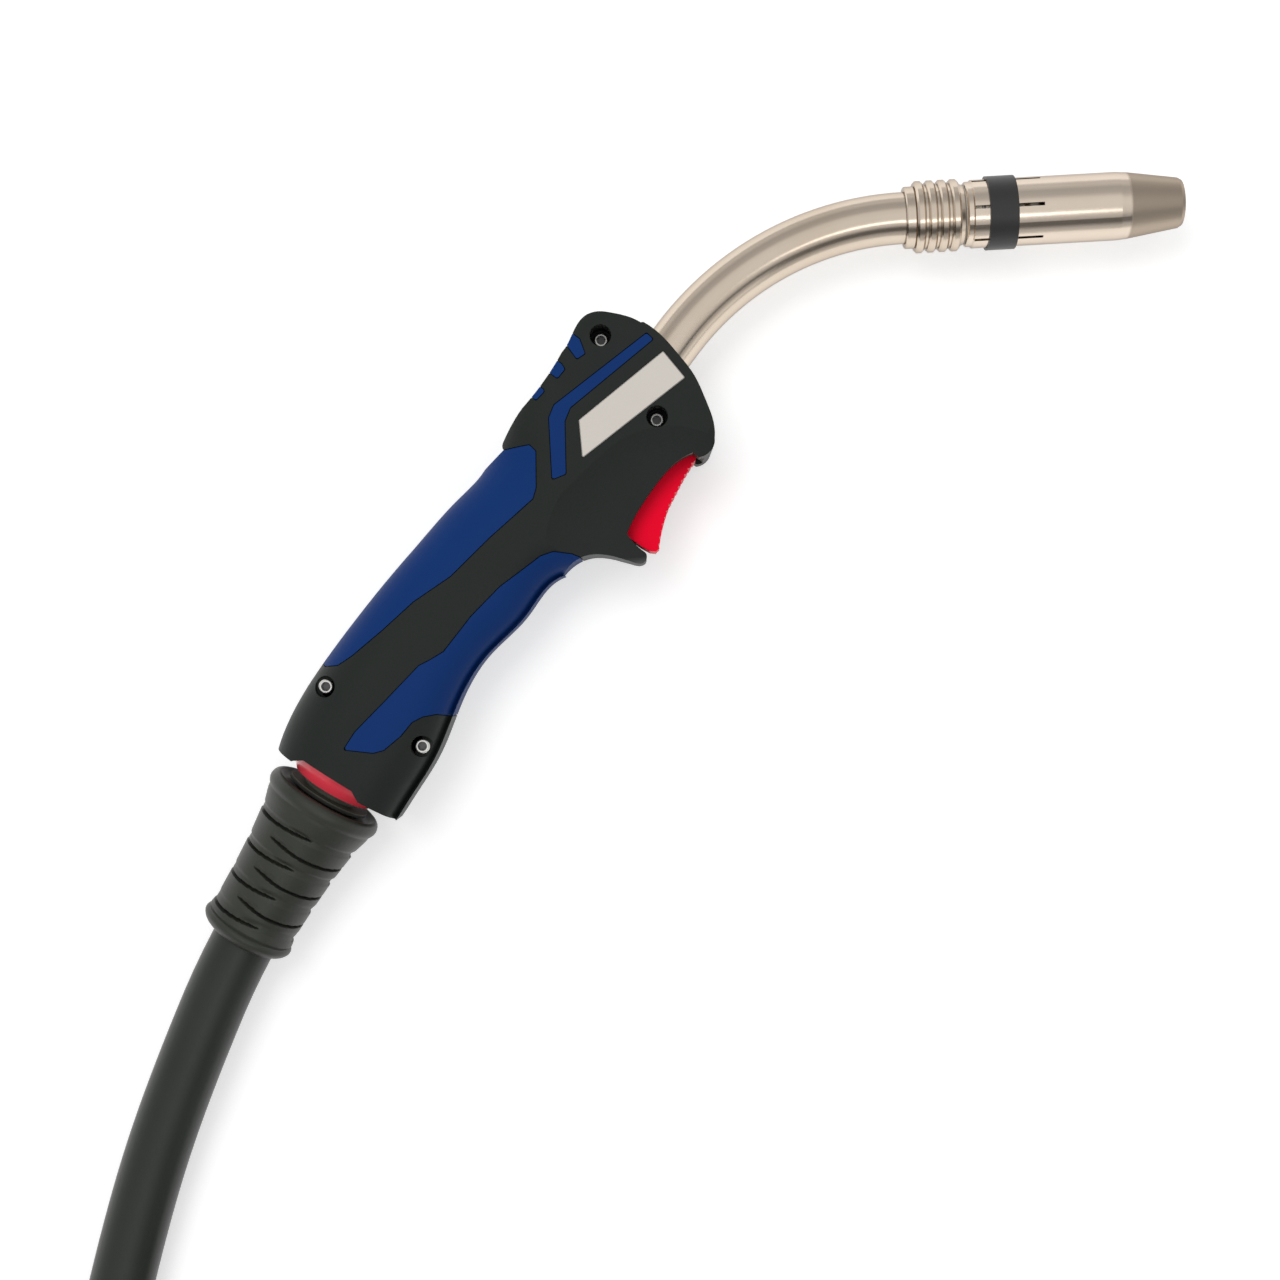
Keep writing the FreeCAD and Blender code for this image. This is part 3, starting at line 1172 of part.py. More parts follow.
keep(turned("plug_boot", [
    ("cable_radius + 0.25", "plug_body_start + 5.1"), ("cable_radius + 0.25", "plug_shell_end + 5"),
    ("plug_shell_back_radius - plug_shell_wall - 0.2", "plug_shell_end + 5"),
    ("plug_shell_back_radius - plug_shell_wall - 0.2", "plug_shell_end + 2.3"),
    ("cable_radius + 1.7", "plug_shell_end + 2.3"),
    ("cable_radius + 1.7", "plug_shell_end - 0.2"), ("plug_shell_back_radius", "plug_shell_end - 0.2"),
    ("plug_shell_back_radius", "plug_shell_end - 4"),
    ("cable_radius + 2", "plug_shell_end - plug_boot_length"),
    ("cable_radius + 1", "plug_shell_end - plug_boot_length"),
    ("cable_radius + 0.25", "plug_shell_end - plug_boot_length + 9"),
    ("cable_radius + 0.25", "plug_body_start - 4.4"), ("cable_radius + 1.3", "plug_body_start - 4.4"),
    ("cable_radius + 1.3", "plug_body_start + 5.1"),
]), PLUG)

doc.recompute()
for item in nodes:
    bad_state = {"Invalid", "Error"} & set(item.State)
    if bad_state or item.Shape.isNull() or not item.Shape.isValid():
        raise ValueError(f"{item.Label} did not build: {item.State}")
    print(item.Label, len(item.Shape.Solids), round(item.Shape.Volume))

# The origin is on the floor, below the middle of the torch without its cable
on_cable = ("cable_lead", "cable_coil", "cable_tail", "plug", "contact_pin", "connector", "liner_nut",
            "o_ring")
extent = FreeCAD.BoundBox()
for item in nodes:
    if not item.Label.startswith(on_cable):
        extent.add(item.Shape.optimalBoundingBox(False))
shift = FreeCAD.Placement(vec(-extent.Center.x, -extent.Center.y, -extent.ZMin), FreeCAD.Rotation())
print("torch is", extent, "and moves by", shift.Base)
for item in nodes:
    item.Placement = shift.multiply(item.Placement)
    item.Shape.exportStep(f"parts/{item.Label}.step")
places = {"handle": HANDLE, "nozzle": NOZZLE, "relief": RELIEF, "plug": PLUG}
for name, frame in places.items():
    frame = shift.multiply(frame)
    print(name, "frame", [round(n, 3) for n in frame.Base],
          [[round(n, 5) for n in frame.Rotation.multVec(axis)] for axis in (vec(1), vec(0, 1),
                                                                            vec(0, 0, 1))])
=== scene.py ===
import json
import math
import bpy
import bmesh
from mathutils import Matrix, Vector


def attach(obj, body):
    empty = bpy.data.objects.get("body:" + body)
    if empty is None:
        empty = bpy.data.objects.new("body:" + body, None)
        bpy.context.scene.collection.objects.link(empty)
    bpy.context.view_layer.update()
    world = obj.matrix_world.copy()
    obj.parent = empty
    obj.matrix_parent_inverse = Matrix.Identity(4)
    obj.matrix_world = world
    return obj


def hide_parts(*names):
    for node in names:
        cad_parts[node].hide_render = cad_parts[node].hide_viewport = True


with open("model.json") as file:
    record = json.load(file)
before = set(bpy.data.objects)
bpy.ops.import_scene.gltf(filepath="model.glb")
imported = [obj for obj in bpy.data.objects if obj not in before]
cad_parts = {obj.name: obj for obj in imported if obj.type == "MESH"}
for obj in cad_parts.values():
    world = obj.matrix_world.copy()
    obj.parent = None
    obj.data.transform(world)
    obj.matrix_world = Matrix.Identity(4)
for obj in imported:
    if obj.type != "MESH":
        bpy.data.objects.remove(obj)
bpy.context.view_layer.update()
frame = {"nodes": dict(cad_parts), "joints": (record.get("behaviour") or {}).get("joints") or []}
nodes = frame["nodes"]
joints = {joint["name"]: joint for joint in frame["joints"]}


def axesAt(origin, way):  # a frame whose Z runs along a part's axis and whose X is near upright
    way = Vector(way).normalized()
    up = (Vector((0, 0, 1)) - way * way.z).normalized()
    side = way.cross(up)
    return Matrix.Translation(origin) @ Matrix((up, side, way)).transposed().to_4x4()


reliefAxes = axesAt(joints["cable_swivel"]["pos_m"], joints["cable_swivel"]["axis"])
plugAxes = axesAt(joints["nut_turn"]["pos_m"], joints["nut_turn"]["axis"])
nozzleWay = Vector(joints["nozzle_pull"]["axis"]).normalized()
reliefWay = Vector(joints["cable_swivel"]["axis"]).normalized()

# Camera straight above the torch, as the photo was taken
cameraSettings = {"x": -0.01572, "y": -0.02129, "height": 0.6193, "level": 0.0193, "field": 0.3745}
camera = bpy.data.cameras.new("camera")
cameraObject = bpy.data.objects.new("camera", camera)
bpy.context.scene.collection.objects.link(cameraObject)
cameraObject.location = (cameraSettings["x"], cameraSettings["y"], cameraSettings["height"])
reach = cameraSettings["height"] - cameraSettings["level"]
camera.angle = 2 * math.atan(cameraSettings["field"] / 2 / reach)
camera.clip_start = 0.01
bpy.context.scene.camera = cameraObject
print("camera set")


def nodeGroup(name, inputs, outputs):
    group = bpy.data.node_groups.new(name, "ShaderNodeTree")
    for socketName, kind, value in inputs:
        socket = group.interface.new_socket(socketName, in_out="INPUT", socket_type=kind)
        if value is not None:
            socket.default_value = value
    for socketName, kind in outputs:
        group.interface.new_socket(socketName, in_out="OUTPUT", socket_type=kind)
    return group, group.nodes.new("NodeGroupInput"), group.nodes.new("NodeGroupOutput")


def addNode(tree, kind, values=None, **settings):
    node = tree.nodes.new(kind)
    for name, value in settings.items():
        setattr(node, name, value)
    for name, value in (values or {}).items():
        node.inputs[name].default_value = value
    return node


def makeGrain():  # fine moulded grain with slow patches over it
    group, given, result = nodeGroup(
        "moulded grain",
        [("Vector", "NodeSocketVector", None), ("Grain Size", "NodeSocketFloat", 1800.0),
         ("Patch Size", "NodeSocketFloat", 40.0)],
        [("Height", "NodeSocketFloat"), ("Patches", "NodeSocketFloat")])
    fine = addNode(group, "ShaderNodeTexNoise", {"Detail": 3.0, "Roughness": 0.6})
    patches = addNode(group, "ShaderNodeTexNoise", {"Detail": 4.0, "Roughness": 0.55})
    group.links.new(given.outputs["Vector"], fine.inputs["Vector"])
    group.links.new(given.outputs["Vector"], patches.inputs["Vector"])
    group.links.new(given.outputs["Grain Size"], fine.inputs["Scale"])
    group.links.new(given.outputs["Patch Size"], patches.inputs["Scale"])
    group.links.new(fine.outputs["Fac"], result.inputs["Height"])
    group.links.new(patches.outputs["Fac"], result.inputs["Patches"])
    return group


def makeScuff():  # light rubbed marks, strongest on the edges
    group, given, result = nodeGroup(
        "edge rub",
        [("Vector", "NodeSocketVector", None), ("Amount", "NodeSocketFloat", 0.5)],
        [("Mask", "NodeSocketFloat")])
    geometry = addNode(group, "ShaderNodeNewGeometry")
    sharp = addNode(group, "ShaderNodeMapRange", {"From Min": 0.53, "From Max": 0.62})
    breakUp = addNode(group, "ShaderNodeTexNoise", {"Scale": 160.0, "Detail": 5.0})
    broken = addNode(group, "ShaderNodeMapRange", {"From Min": 0.45, "From Max": 0.7})
    both = addNode(group, "ShaderNodeMath", operation="MULTIPLY")
    scaled = addNode(group, "ShaderNodeMath", operation="MULTIPLY")
    group.links.new(geometry.outputs["Pointiness"], sharp.inputs["Value"])
    group.links.new(given.outputs["Vector"], breakUp.inputs["Vector"])
    group.links.new(breakUp.outputs["Fac"], broken.inputs["Value"])
    group.links.new(sharp.outputs["Result"], both.inputs[0])
    group.links.new(broken.outputs["Result"], both.inputs[1])
    group.links.new(both.outputs["Value"], scaled.inputs[0])
    group.links.new(given.outputs["Amount"], scaled.inputs[1])
    group.links.new(scaled.outputs["Value"], result.inputs["Mask"])
    return group


grainGroup = makeGrain()
scuffGroup = makeScuff()
grainHeight = 0.0002  # metres
levelFace, slopedFace = 0.985, 0.93  # how upright a normal is on a level face and on a sloped one


def layTone(tree, under, tone, mask):  # a plain colour over another, where a mask says so
    mixed = addNode(tree, "ShaderNodeMix", data_type="RGBA")
    mixed.inputs["B"].default_value = (*tone, 1)
    tree.links.new(mask, mixed.inputs["Factor"])
    tree.links.new(under, mixed.inputs["A"])
    return mixed.outputs["Result"]


def rimHighlightMask(tree, coordinates, rings):  # 1 outside a circle about the nearest of some upright axes, where a painted rim highlight goes
    flatten = addNode(tree, "ShaderNodeVectorMath", operation="MULTIPLY")
    flatten.inputs[1].default_value = (1, 1, 0)
    tree.links.new(coordinates, flatten.inputs[0])
    nearest = None
    for middle in rings["middles"]:
        away = addNode(tree, "ShaderNodeVectorMath", operation="DISTANCE")
        away.inputs[1].default_value = (*middle, 0)
        tree.links.new(flatten.outputs["Vector"], away.inputs[0])
        if nearest:
            least = addNode(tree, "ShaderNodeMath", operation="MINIMUM")
            tree.links.new(nearest, least.inputs[0])
            tree.links.new(away.outputs["Value"], least.inputs[1])
            nearest = least.outputs["Value"]
        else:
            nearest = away.outputs["Value"]
    outside = addNode(tree, "ShaderNodeMapRange", {"From Min": rings["inner"],
                                                   "From Max": rings["inner"] + rings["softness"]})
    tree.links.new(nearest, outside.inputs["Value"])
    return outside.outputs["Result"]


def slopeShadeMask(tree, normal):  # 1 where a face is neither level nor nearly so; it places painted shade on slopes
    parts = addNode(tree, "ShaderNodeSeparateXYZ")
    tree.links.new(normal, parts.inputs["Vector"])
    upright = addNode(tree, "ShaderNodeMath", operation="ABSOLUTE")
    tree.links.new(parts.outputs["Z"], upright.inputs[0])
    sloped = addNode(tree, "ShaderNodeMapRange", {"From Min": levelFace, "From Max": slopedFace})
    tree.links.new(upright.outputs["Value"], sloped.inputs["Value"])
    return sloped.outputs["Result"]


def makeMaterial(name, look):
    material = bpy.data.materials.new(name)
    material.use_nodes = True
    tree = material.node_tree
    tree.nodes.clear()
    output = addNode(tree, "ShaderNodeOutputMaterial")
    shader = addNode(tree, "ShaderNodeBsdfPrincipled", {"Metallic": look.get("metallic", 0.0)})
    for socket in ("Coat Weight", "Specular IOR Level", "Specular Tint"):
        if socket in look:
            shader.inputs[socket].default_value = look[socket]
    tree.links.new(shader.outputs["BSDF"], output.inputs["Surface"])
    place = addNode(tree, "ShaderNodeTexCoord")
    grain = addNode(tree, "ShaderNodeGroup", node_tree=grainGroup)
    grain.inputs["Grain Size"].default_value = look.get("grainSize", 1800.0)
    grain.inputs["Patch Size"].default_value = look.get("patchSize", 40.0)
    tree.links.new(place.outputs["Object"], grain.inputs["Vector"])
    colour = addNode(tree, "ShaderNodeMix", data_type="RGBA")
    colour.inputs["A"].default_value = (*look["colour"], 1)
    colour.inputs["B"].default_value = (*look["second"], 1)
    tree.links.new(grain.outputs["Patches"], colour.inputs["Factor"])
    tinted = colour.outputs["Result"]
    if look.get("rub"):
        scuff = addNode(tree, "ShaderNodeGroup", node_tree=scuffGroup)
        scuff.inputs["Amount"].default_value = look["rub"]
        tree.links.new(place.outputs["Object"], scuff.inputs["Vector"])
        tinted = layTone(tree, tinted, look["rubColour"], scuff.outputs["Mask"])
    low, high = look["roughness"]
    rough = addNode(tree, "ShaderNodeMapRange", {"To Min": low, "To Max": high})
    tree.links.new(grain.outputs["Patches"], rough.inputs["Value"])
    roughness = rough.outputs["Result"]
    if look.get("beyond"):  # another tone past a place on the part's axis; on the collar this is painted shade
        way, start, end, tone, beyondRough = look["beyond"]
        along = addNode(tree, "ShaderNodeVectorMath", operation="DOT_PRODUCT")
        along.inputs[1].default_value = way
        tree.links.new(place.outputs["Object"], along.inputs[0])
        past = addNode(tree, "ShaderNodeMapRange", {"From Min": start, "From Max": end})
        tree.links.new(along.outputs["Value"], past.inputs["Value"])
        tinted = layTone(tree, tinted, tone, past.outputs["Result"])
        roughened = addNode(tree, "ShaderNodeMix", {"B": beyondRough})
        tree.links.new(past.outputs["Result"], roughened.inputs["Factor"])
        tree.links.new(roughness, roughened.inputs["A"])
        roughness = roughened.outputs["Result"]
    # a light tone outside a circle round each screw's middle: painted highlight on the screw heads' rims
    if look.get("rings"):
        tinted = layTone(tree, tinted, look["rings"]["tone"], rimHighlightMask(tree, place.outputs["Object"], look["rings"]))
    # a darker tone on sloped faces: painted shade on the nameplate's bevel
    if look.get("edge"):
        tinted = layTone(tree, tinted, look["edge"], slopeShadeMask(tree, place.outputs["Normal"]))
    tree.links.new(tinted, shader.inputs["Base Color"])
    tree.links.new(roughness, shader.inputs["Roughness"])
    bump = addNode(tree, "ShaderNodeBump", {"Strength": look["bump"], "Distance": grainHeight})
    tree.links.new(grain.outputs["Height"], bump.inputs["Height"])
    tree.links.new(bump.outputs["Normal"], shader.inputs["Normal"])
    return material


mouth = max(nozzleWay.dot(vertex.co) for vertex in nodes["gas_nozzle"].data.vertices)
coneLength = 0.0161
toneEdge = 0.0004  # how far a change of tone on metal reaches to either side
shoulder = mouth - coneLength  # where the nozzle's cone starts
discPlace = 0.0124  # the collar's disc, from the ball's middle
discEdge = 0.0003  # over which the collar's tone turns to the painted shade past the disc's face
discFace = reliefWay.dot(Vector(joints["cable_swivel"]["pos_m"])) + discPlace
looks = {  # every finish on the torch, as linear colours
    "shellPlastic": {"colour": (0.0168, 0.0206, 0.0180), "second": (0.0208, 0.0250, 0.0220),
                     "roughness": (0.42, 0.52), "Specular IOR Level": 0.15, "bump": 0.2, "grainSize": 1500.0,
                     "rub": 0.2, "rubColour": (0.03, 0.032, 0.028)},
    "gripBlue": {"colour": (0.003, 0.030, 0.150), "second": (0.005, 0.037, 0.172), "roughness": (0.5, 0.6),
                 "Specular IOR Level": 0.12, "bump": 0.2, "grainSize": 2200.0},
    # nameplate: the darker edge tone on its bevel is painted shade
    "plateSilverPaintedBevelShade": {"colour": (0.66, 0.615, 0.555), "second": (0.70, 0.655, 0.595), "roughness": (0.35, 0.45),
                    "bump": 0.08, "grainSize": 900.0, "edge": (0.40, 0.38, 0.35)},
    "triggerRed": {"colour": (0.95, 0.0, 0.026), "second": (1.0, 0.002, 0.030), "roughness": (0.34, 0.42),
                   "Specular IOR Level": 0.06, "bump": 0.08},
    "ringRed": {"colour": (0.80, 0.045, 0.075), "second": (0.86, 0.06, 0.09), "roughness": (0.2, 0.28),
                "bump": 0.05, "Coat Weight": 0.3},
    "nickel": {"colour": (0.76, 0.66, 0.56), "second": (0.66, 0.55, 0.43), "roughness": (0.14, 0.24),
               "bump": 0.05, "grainSize": 700.0, "metallic": 1.0, "Specular Tint": (0.55, 0.54, 0.54, 1)},
    "nozzleNickel": {"colour": (0.82, 0.71, 0.61), "second": (0.72, 0.61, 0.49), "roughness": (0.14, 0.24),
                     "bump": 0.05, "grainSize": 700.0, "metallic": 1.0, "Specular Tint": (0.55, 0.54, 0.54, 1),
                     "beyond": (nozzleWay, shoulder - toneEdge, shoulder + toneEdge, (0.47, 0.39, 0.31), 0.36)},
    "blackBand": {"colour": (0.018, 0.018, 0.018), "second": (0.03, 0.03, 0.03), "roughness": (0.35, 0.5),
                  "bump": 0.1},
    "steel": {"colour": (0.55, 0.55, 0.54), "second": (0.62, 0.61, 0.6), "roughness": (0.2, 0.32),
              "bump": 0.08, "metallic": 1.0},
    # dark screw heads; the light ring tone is a painted highlight on their rims
    "screwSteelPaintedRim": {"colour": (0.10, 0.10, 0.10), "second": (0.14, 0.14, 0.14), "roughness": (0.34, 0.46),
                   "bump": 0.08, "metallic": 1.0,
                   "rings": {"inner": 0.0013, "softness": 0.0001, "tone": (0.85, 0.84, 0.81),
                             "middles": [(-0.02697, 0.06509), (-0.01088, 0.04211), (-0.10572, -0.03462),
                                         (-0.07807, -0.05172)]}},
    "copper": {"colour": (0.70, 0.36, 0.22), "second": (0.62, 0.30, 0.17), "roughness": (0.22, 0.36),
               "bump": 0.06, "metallic": 1.0},
    "brass": {"colour": (0.66, 0.48, 0.22), "second": (0.58, 0.41, 0.18), "roughness": (0.22, 0.36),
              "bump": 0.06, "metallic": 1.0},
    "insulation": {"colour": (0.62, 0.58, 0.50), "second": (0.56, 0.52, 0.45), "roughness": (0.5, 0.65),
                   "bump": 0.15},
    "rubber": {"colour": (0.026, 0.029, 0.023), "second": (0.042, 0.045, 0.036), "roughness": (0.34, 0.50),
               "Specular IOR Level": 0.4, "bump": 0.25, "grainSize": 1100.0, "patchSize": 90.0},
    "cableRubber": {"colour": (0.021, 0.025, 0.020), "second": (0.030, 0.034, 0.028), "roughness": (0.32, 0.42),
                    "Specular IOR Level": 0.35, "bump": 0.15, "grainSize": 900.0},
    # collar: base tone lighter than the other dark plastics, painted light that lifts it out of the shade under the
    # red ring; past the disc's face a near-black tone, painted shade on the disc's side
    "collarPaintedLightAndShade": {"colour": (0.060, 0.063, 0.046), "second": (0.072, 0.074, 0.056), "roughness": (0.45, 0.6),
                      "bump": 0.2,
                      "beyond": (reliefWay, discFace, discFace + discEdge, (0.012, 0.012, 0.009), 0.6)},
    "darkPlastic": {"colour": (0.020, 0.020, 0.020), "second": (0.028, 0.028, 0.028), "roughness": (0.4, 0.5),
                    "bump": 0.25},
}
materials = {name: makeMaterial(name, look) for name, look in looks.items()}
print("materials made", len(materials))


def setMaterial(target, material):
    target.data.materials.clear()
    target.data.materials.append(material)


finishes = {  # the finish of every solid that is shown as it is
    "shellPlastic": ["handle_shell_right", "handle_shell_left", "switch_body"],
    "gripBlue": ["back_grip_right", "back_grip_left", "belly_grip_right", "belly_grip_left", "stripe_right",
                 "stripe_left", "head_pads_right", "head_pads_left"],
    "plateSilverPaintedBevelShade": ["nameplate_right", "nameplate_left"],
    "triggerRed": ["trigger", "switch_button"],
    "ringRed": ["ball_ring"],
    "nickel": ["swan_neck_tube", "neck_head"],
    "nozzleNickel": ["gas_nozzle"],
    "blackBand": ["nozzle_band"],
    "steel": ["plug_screws", "trigger_pin", "snap_ring"],
    "screwSteelPaintedRim": ["head_screws", "tail_screws"],
    "copper": ["contact_tip", "inner_conductor", "cable_union", "crimp_ferrule"],
    "brass": ["tip_holder", "neck_block", "switch_terminals", "plug_pin", "plug_body", "contact_pin_a",
              "contact_pin_b", "plug_ferrule", "liner_nut"],
    "insulation": ["neck_insulation", "nozzle_seat", "gas_diffuser"],
    "rubber": ["o_ring", "power_core_front", "power_core_rear", "switch_wires", "bend_relief", "plug_boot",
               "cable_lead", "cable_coil", "cable_tail"],
    "collarPaintedLightAndShade": ["swivel_collar"],
    "darkPlastic": ["plug_housing_left", "plug_housing_right", "connector_nut",
                    "plug_insulator", "wire_liner"],
}
for finish, names in finishes.items():
    for name in names:
        setMaterial(nodes[name], materials[finish])

# Cable: falls from the bend relief to the floor, runs out of the picture and is put away there
cableSettings = {
    "radius": 0.0095, "start": 0.036, "secondPoint": 0.066,
    "lead": [(-0.14867, -0.14539, 0.0126), (-0.15917, -0.17339, 0.0107), (-0.16717, -0.20139, 0.0097),
             (-0.17417, -0.23139, 0.00955), (-0.18067, -0.26189, 0.00955), (-0.18767, -0.29639, 0.00955),
             (-0.18767, -0.32839, 0.00955)],
    "coilRadius": 0.122, "coilPitch": 0.0197, "turnsIn": 2.25, "turnsOut": 2.0, "pointsPerTurn": 24,
    "climbRate": 4,
    "coilY": -0.34839, "floor": 0.00955, "runOut": (0.019, 0.045),
    "plugEntry": -0.1224, "plugEnd": -0.082,
}


def coilPlace(turn):
    settings = cableSettings
    pitch = settings["coilPitch"]
    fromMiddle = turn - settings["turnsIn"]
    radius = settings["coilRadius"] - settings["turnsIn"] * pitch + abs(fromMiddle) * pitch
    angle = math.pi * (1 + 2 * turn)
    climb = min(1.0, max(-1.0, fromMiddle * settings["climbRate"]))
    rise = 0.5 + climb - math.copysign(climb * climb / 2, climb)
    middle = Vector((settings["lead"][-1][0] + settings["coilRadius"], settings["coilY"]))
    return Vector((middle.x + radius * math.cos(angle), middle.y + radius * math.sin(angle),
                   settings["floor"] + pitch * rise))


def makeCable():
    settings = cableSettings
    route = [reliefAxes @ Vector((0, 0, settings["start"])), reliefAxes @ Vector((0, 0, settings["secondPoint"]))]
    route += [Vector(point) for point in settings["lead"]]
    steps = round((settings["turnsIn"] + settings["turnsOut"]) * settings["pointsPerTurn"])
    route += [coilPlace(step / settings["pointsPerTurn"]) for step in range(steps + 1)]
    coilWay = (route[-1] - route[-2]).normalized()
    coilWay.z = 0.0
    route += [route[-1] + coilWay * along for along in settings["runOut"]]
    route += [plugAxes @ Vector((0, 0, settings[key])) for key in ("plugEntry", "plugEnd")]
    curve = bpy.data.curves.new("cable", "CURVE")
    curve.dimensions = "3D"
    spline = curve.splines.new("NURBS")
    spline.points.add(len(route) - 1)
    for point, place in zip(spline.points, route):
        point.co = (*place, 1.0)
    spline.order_u = 3
    spline.use_endpoint_u = True
    spline.resolution_u = 6
    curve.bevel_depth = settings["radius"]
    curve.bevel_resolution = 12
    curve.use_fill_caps = True
    curve.materials.append(materials["cableRubber"])
    cable = bpy.data.objects.new("cable", curve)
    bpy.context.scene.collection.objects.link(cable)
    return cable


cable = makeCable()
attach(cable, "cable")
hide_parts("cable_lead", "cable_coil", "cable_tail")
print("cable laid")


def meshObject(name, meshData, material):
    made = bpy.data.objects.new(name, meshData)
    bpy.context.scene.collection.objects.link(made)
    setMaterial(made, material)
    return made


sharpAngle = 40.0  # degrees, past which an edge of a turned piece stays crisp


def joinColumns(mesh, columns):  # faces between neighbouring columns of corners, closed both ways
    for one, two in zip(columns, columns[1:] + columns[:1]):
        for index in range(len(one)):
            following = (index + 1) % len(one)
            mesh.faces.new((one[index], two[index], two[following], one[following]))
    bmesh.ops.recalc_face_normals(mesh, faces=mesh.faces)


def latheMesh(name, rings, axes, segments, dent=None):  # a closed ring of (radius, height) turned round an axis
    mesh = bmesh.new()
    columns = []
    for column in range(segments):
        angle = 2 * math.pi * column / segments
        corners = []
        for radius, height in rings:
            if dent:
                radius -= dent(height, angle)
            place = Vector((radius * math.cos(angle), radius * math.sin(angle), height))
            corners.append(mesh.verts.new(axes @ place))
        columns.append(corners)
    joinColumns(mesh, columns)
    for face in mesh.faces:
        face.smooth = True
    data = bpy.data.meshes.new(name)
    mesh.to_mesh(data)
    mesh.free()
    data.set_sharp_from_angle(angle=math.radians(sharpAngle))
    return data


# Bend relief: a flared flange, then rings like saw teeth. Under each ring runs a slit that starts
# at the top and goes round the left side and below; halfway up the ring is one round the right side.
reliefSettings = {
    "bore": 0.0096, "segments": 288, "slitDepth": 0.0024, "slitWidth": 0.0009,
    "flange": [(0.0102, 0.0144), (0.0140, 0.0144), (0.0148, 0.0139), (0.0154, 0.0134), (0.0159, 0.0133),
               (0.0165, 0.01355), (0.0170, 0.0140), (0.0173, 0.0145), (0.0175, 0.0151), (0.0176, 0.0158),
               (0.0175, 0.0165), (0.0172, 0.0172), (0.0168, 0.0178)],
    "body": [(0.0181, 0.01662), (0.0191, 0.01650), (0.0202, 0.01624), (0.0232, 0.01536), (0.0240, 0.01484),
             (0.0251, 0.01486), (0.0258, 0.01504), (0.0290, 0.01463), (0.0332, 0.01412), (0.0340, 0.01362),
             (0.0353, 0.01370), (0.0361, 0.01388), (0.0432, 0.01342), (0.0441, 0.01314), (0.0455, 0.01316),
             (0.0462, 0.01330), (0.0526, 0.01310), (0.0535, 0.01290), (0.0554, 0.01296), (0.0562, 0.01322),
             (0.0576, 0.01352), (0.0581, 0.01330), (0.0584, 0.01320)],
    "end": [(0.0136, 0.0586), (0.0139, 0.0589), (0.0141, 0.0594), (0.01408, 0.0600), (0.0138, 0.0606),
            (0.0133, 0.0613), (0.0126, 0.0619), (0.0117, 0.0624), (0.0109, 0.0628), (0.0104, 0.0629)],
    "leftSlits": (0.0255, 0.0358, 0.0459, 0.0559), "leftFrom": -17.0, "leftTo": 280.0, "leftClimb": 0.0012,
    "rightSlits": (0.0307, 0.0410, 0.0510), "rightFrom": -200.0, "rightTo": 30.0, "rightClimb": 0.0012,
    "leftSeam": 280.0, "rightSeam": 150.0,  # where the angle starts again, a full turn lower
    "leftBend": (45.0, -17.0, 1.4), "rightBend": (-18.0, 30.0, 1.3),  # start, end, steepness
    "lowerBend": (-32.0, -85.0, 1.4), "lowerShare": 0.7,
    "slitPoint": 24.0, "slitRunIn": 6.0, "slitTip": 0.4, "slitSteepness": 2.2,  # degrees, degrees, shares
    "facet": 0.0006, "facetHeight": 0.0019, "facetArc": 34.0, "facetSteepness": 1.6,
    "ringSpacing": 0.0002, "faceStart": 0.0150, "faceEnd": 0.0626,
}


def between(low, high, value):
    return min(1.0, max(0.0, (value - low) / (high - low)))


def bodyRadius(height):
    places = reliefSettings["body"]
    for (low, lowRadius), (high, highRadius) in zip(places, places[1:]):
        if height <= high:
            return lowRadius + (highRadius - lowRadius) * between(low, high, height)
    return places[-1][1]


def reliefRings():
    settings = reliefSettings
    first, last = settings["body"][0][0], settings["body"][-1][0]
    steps = round((last - first) / settings["ringSpacing"])
    heights = [first + (last - first) * step / steps for step in range(steps + 1)]
    body = [(bodyRadius(height), height) for height in heights]
    bore = settings["bore"]
    return ([(bore, settings["faceStart"])] + settings["flange"] + body + settings["end"] +
            [(bore, settings["faceEnd"])])


def slitDepthAt(height, middle, away):  # away: how far inside the slit's end, in degrees
    settings = reliefSettings
    narrowing = settings["slitTip"] + (1 - settings["slitTip"]) * between(0, settings["slitPoint"], away)
    inside = 1 - abs(height - middle) / (settings["slitWidth"] / 2 * narrowing)
    if inside <= 0:
        return 0.0
    runIn = between(0, settings["slitRunIn"], away)
    return settings["slitDepth"] * min(1.0, inside * settings["slitSteepness"]) * runIn


def facetDepthAt(height, middle, away):  # the flat that is worn above a slit where it starts
    settings = reliefSettings
    above = (middle - height) / settings["facetHeight"]
    arc = settings["facetArc"]
    if not 0 < above < 1 or not 0 < away < arc:
        return 0.0
    return settings["facet"] * min(1.0, (1 - above) * settings["facetSteepness"]) * math.sin(math.pi * away / arc)


def bendAt(bend, degrees):  # how far a slit has climbed, as a share
    start, end, steepness = bend
    return between(start, end, degrees) ** steepness


def reliefDent(height, angle):
    settings = reliefSettings
    if not settings["body"][0][0] < height < settings["body"][-1][0]:
        return 0.0
    degrees = math.degrees(angle)
    left = degrees if degrees < settings["leftSeam"] else degrees - 360
    right = degrees if degrees < settings["rightSeam"] else degrees - 360
    depth = 0.0
    for place in settings["leftSlits"]:
        middle = place - settings["leftClimb"] * bendAt(settings["leftBend"], left)
        away = min(left - settings["leftFrom"], settings["leftTo"] - left)
        depth = max(depth, slitDepthAt(height, middle, away), facetDepthAt(height, middle, away))
    for place in settings["rightSlits"]:
        lower = settings["lowerShare"] * bendAt(settings["lowerBend"], right)
        ends = bendAt(settings["rightBend"], right) + lower
        middle = place - settings["rightClimb"] * ends
        away = min(right - settings["rightFrom"], settings["rightTo"] - right)
        depth = max(depth, slitDepthAt(height, middle, away), facetDepthAt(height, middle, away))
    return depth


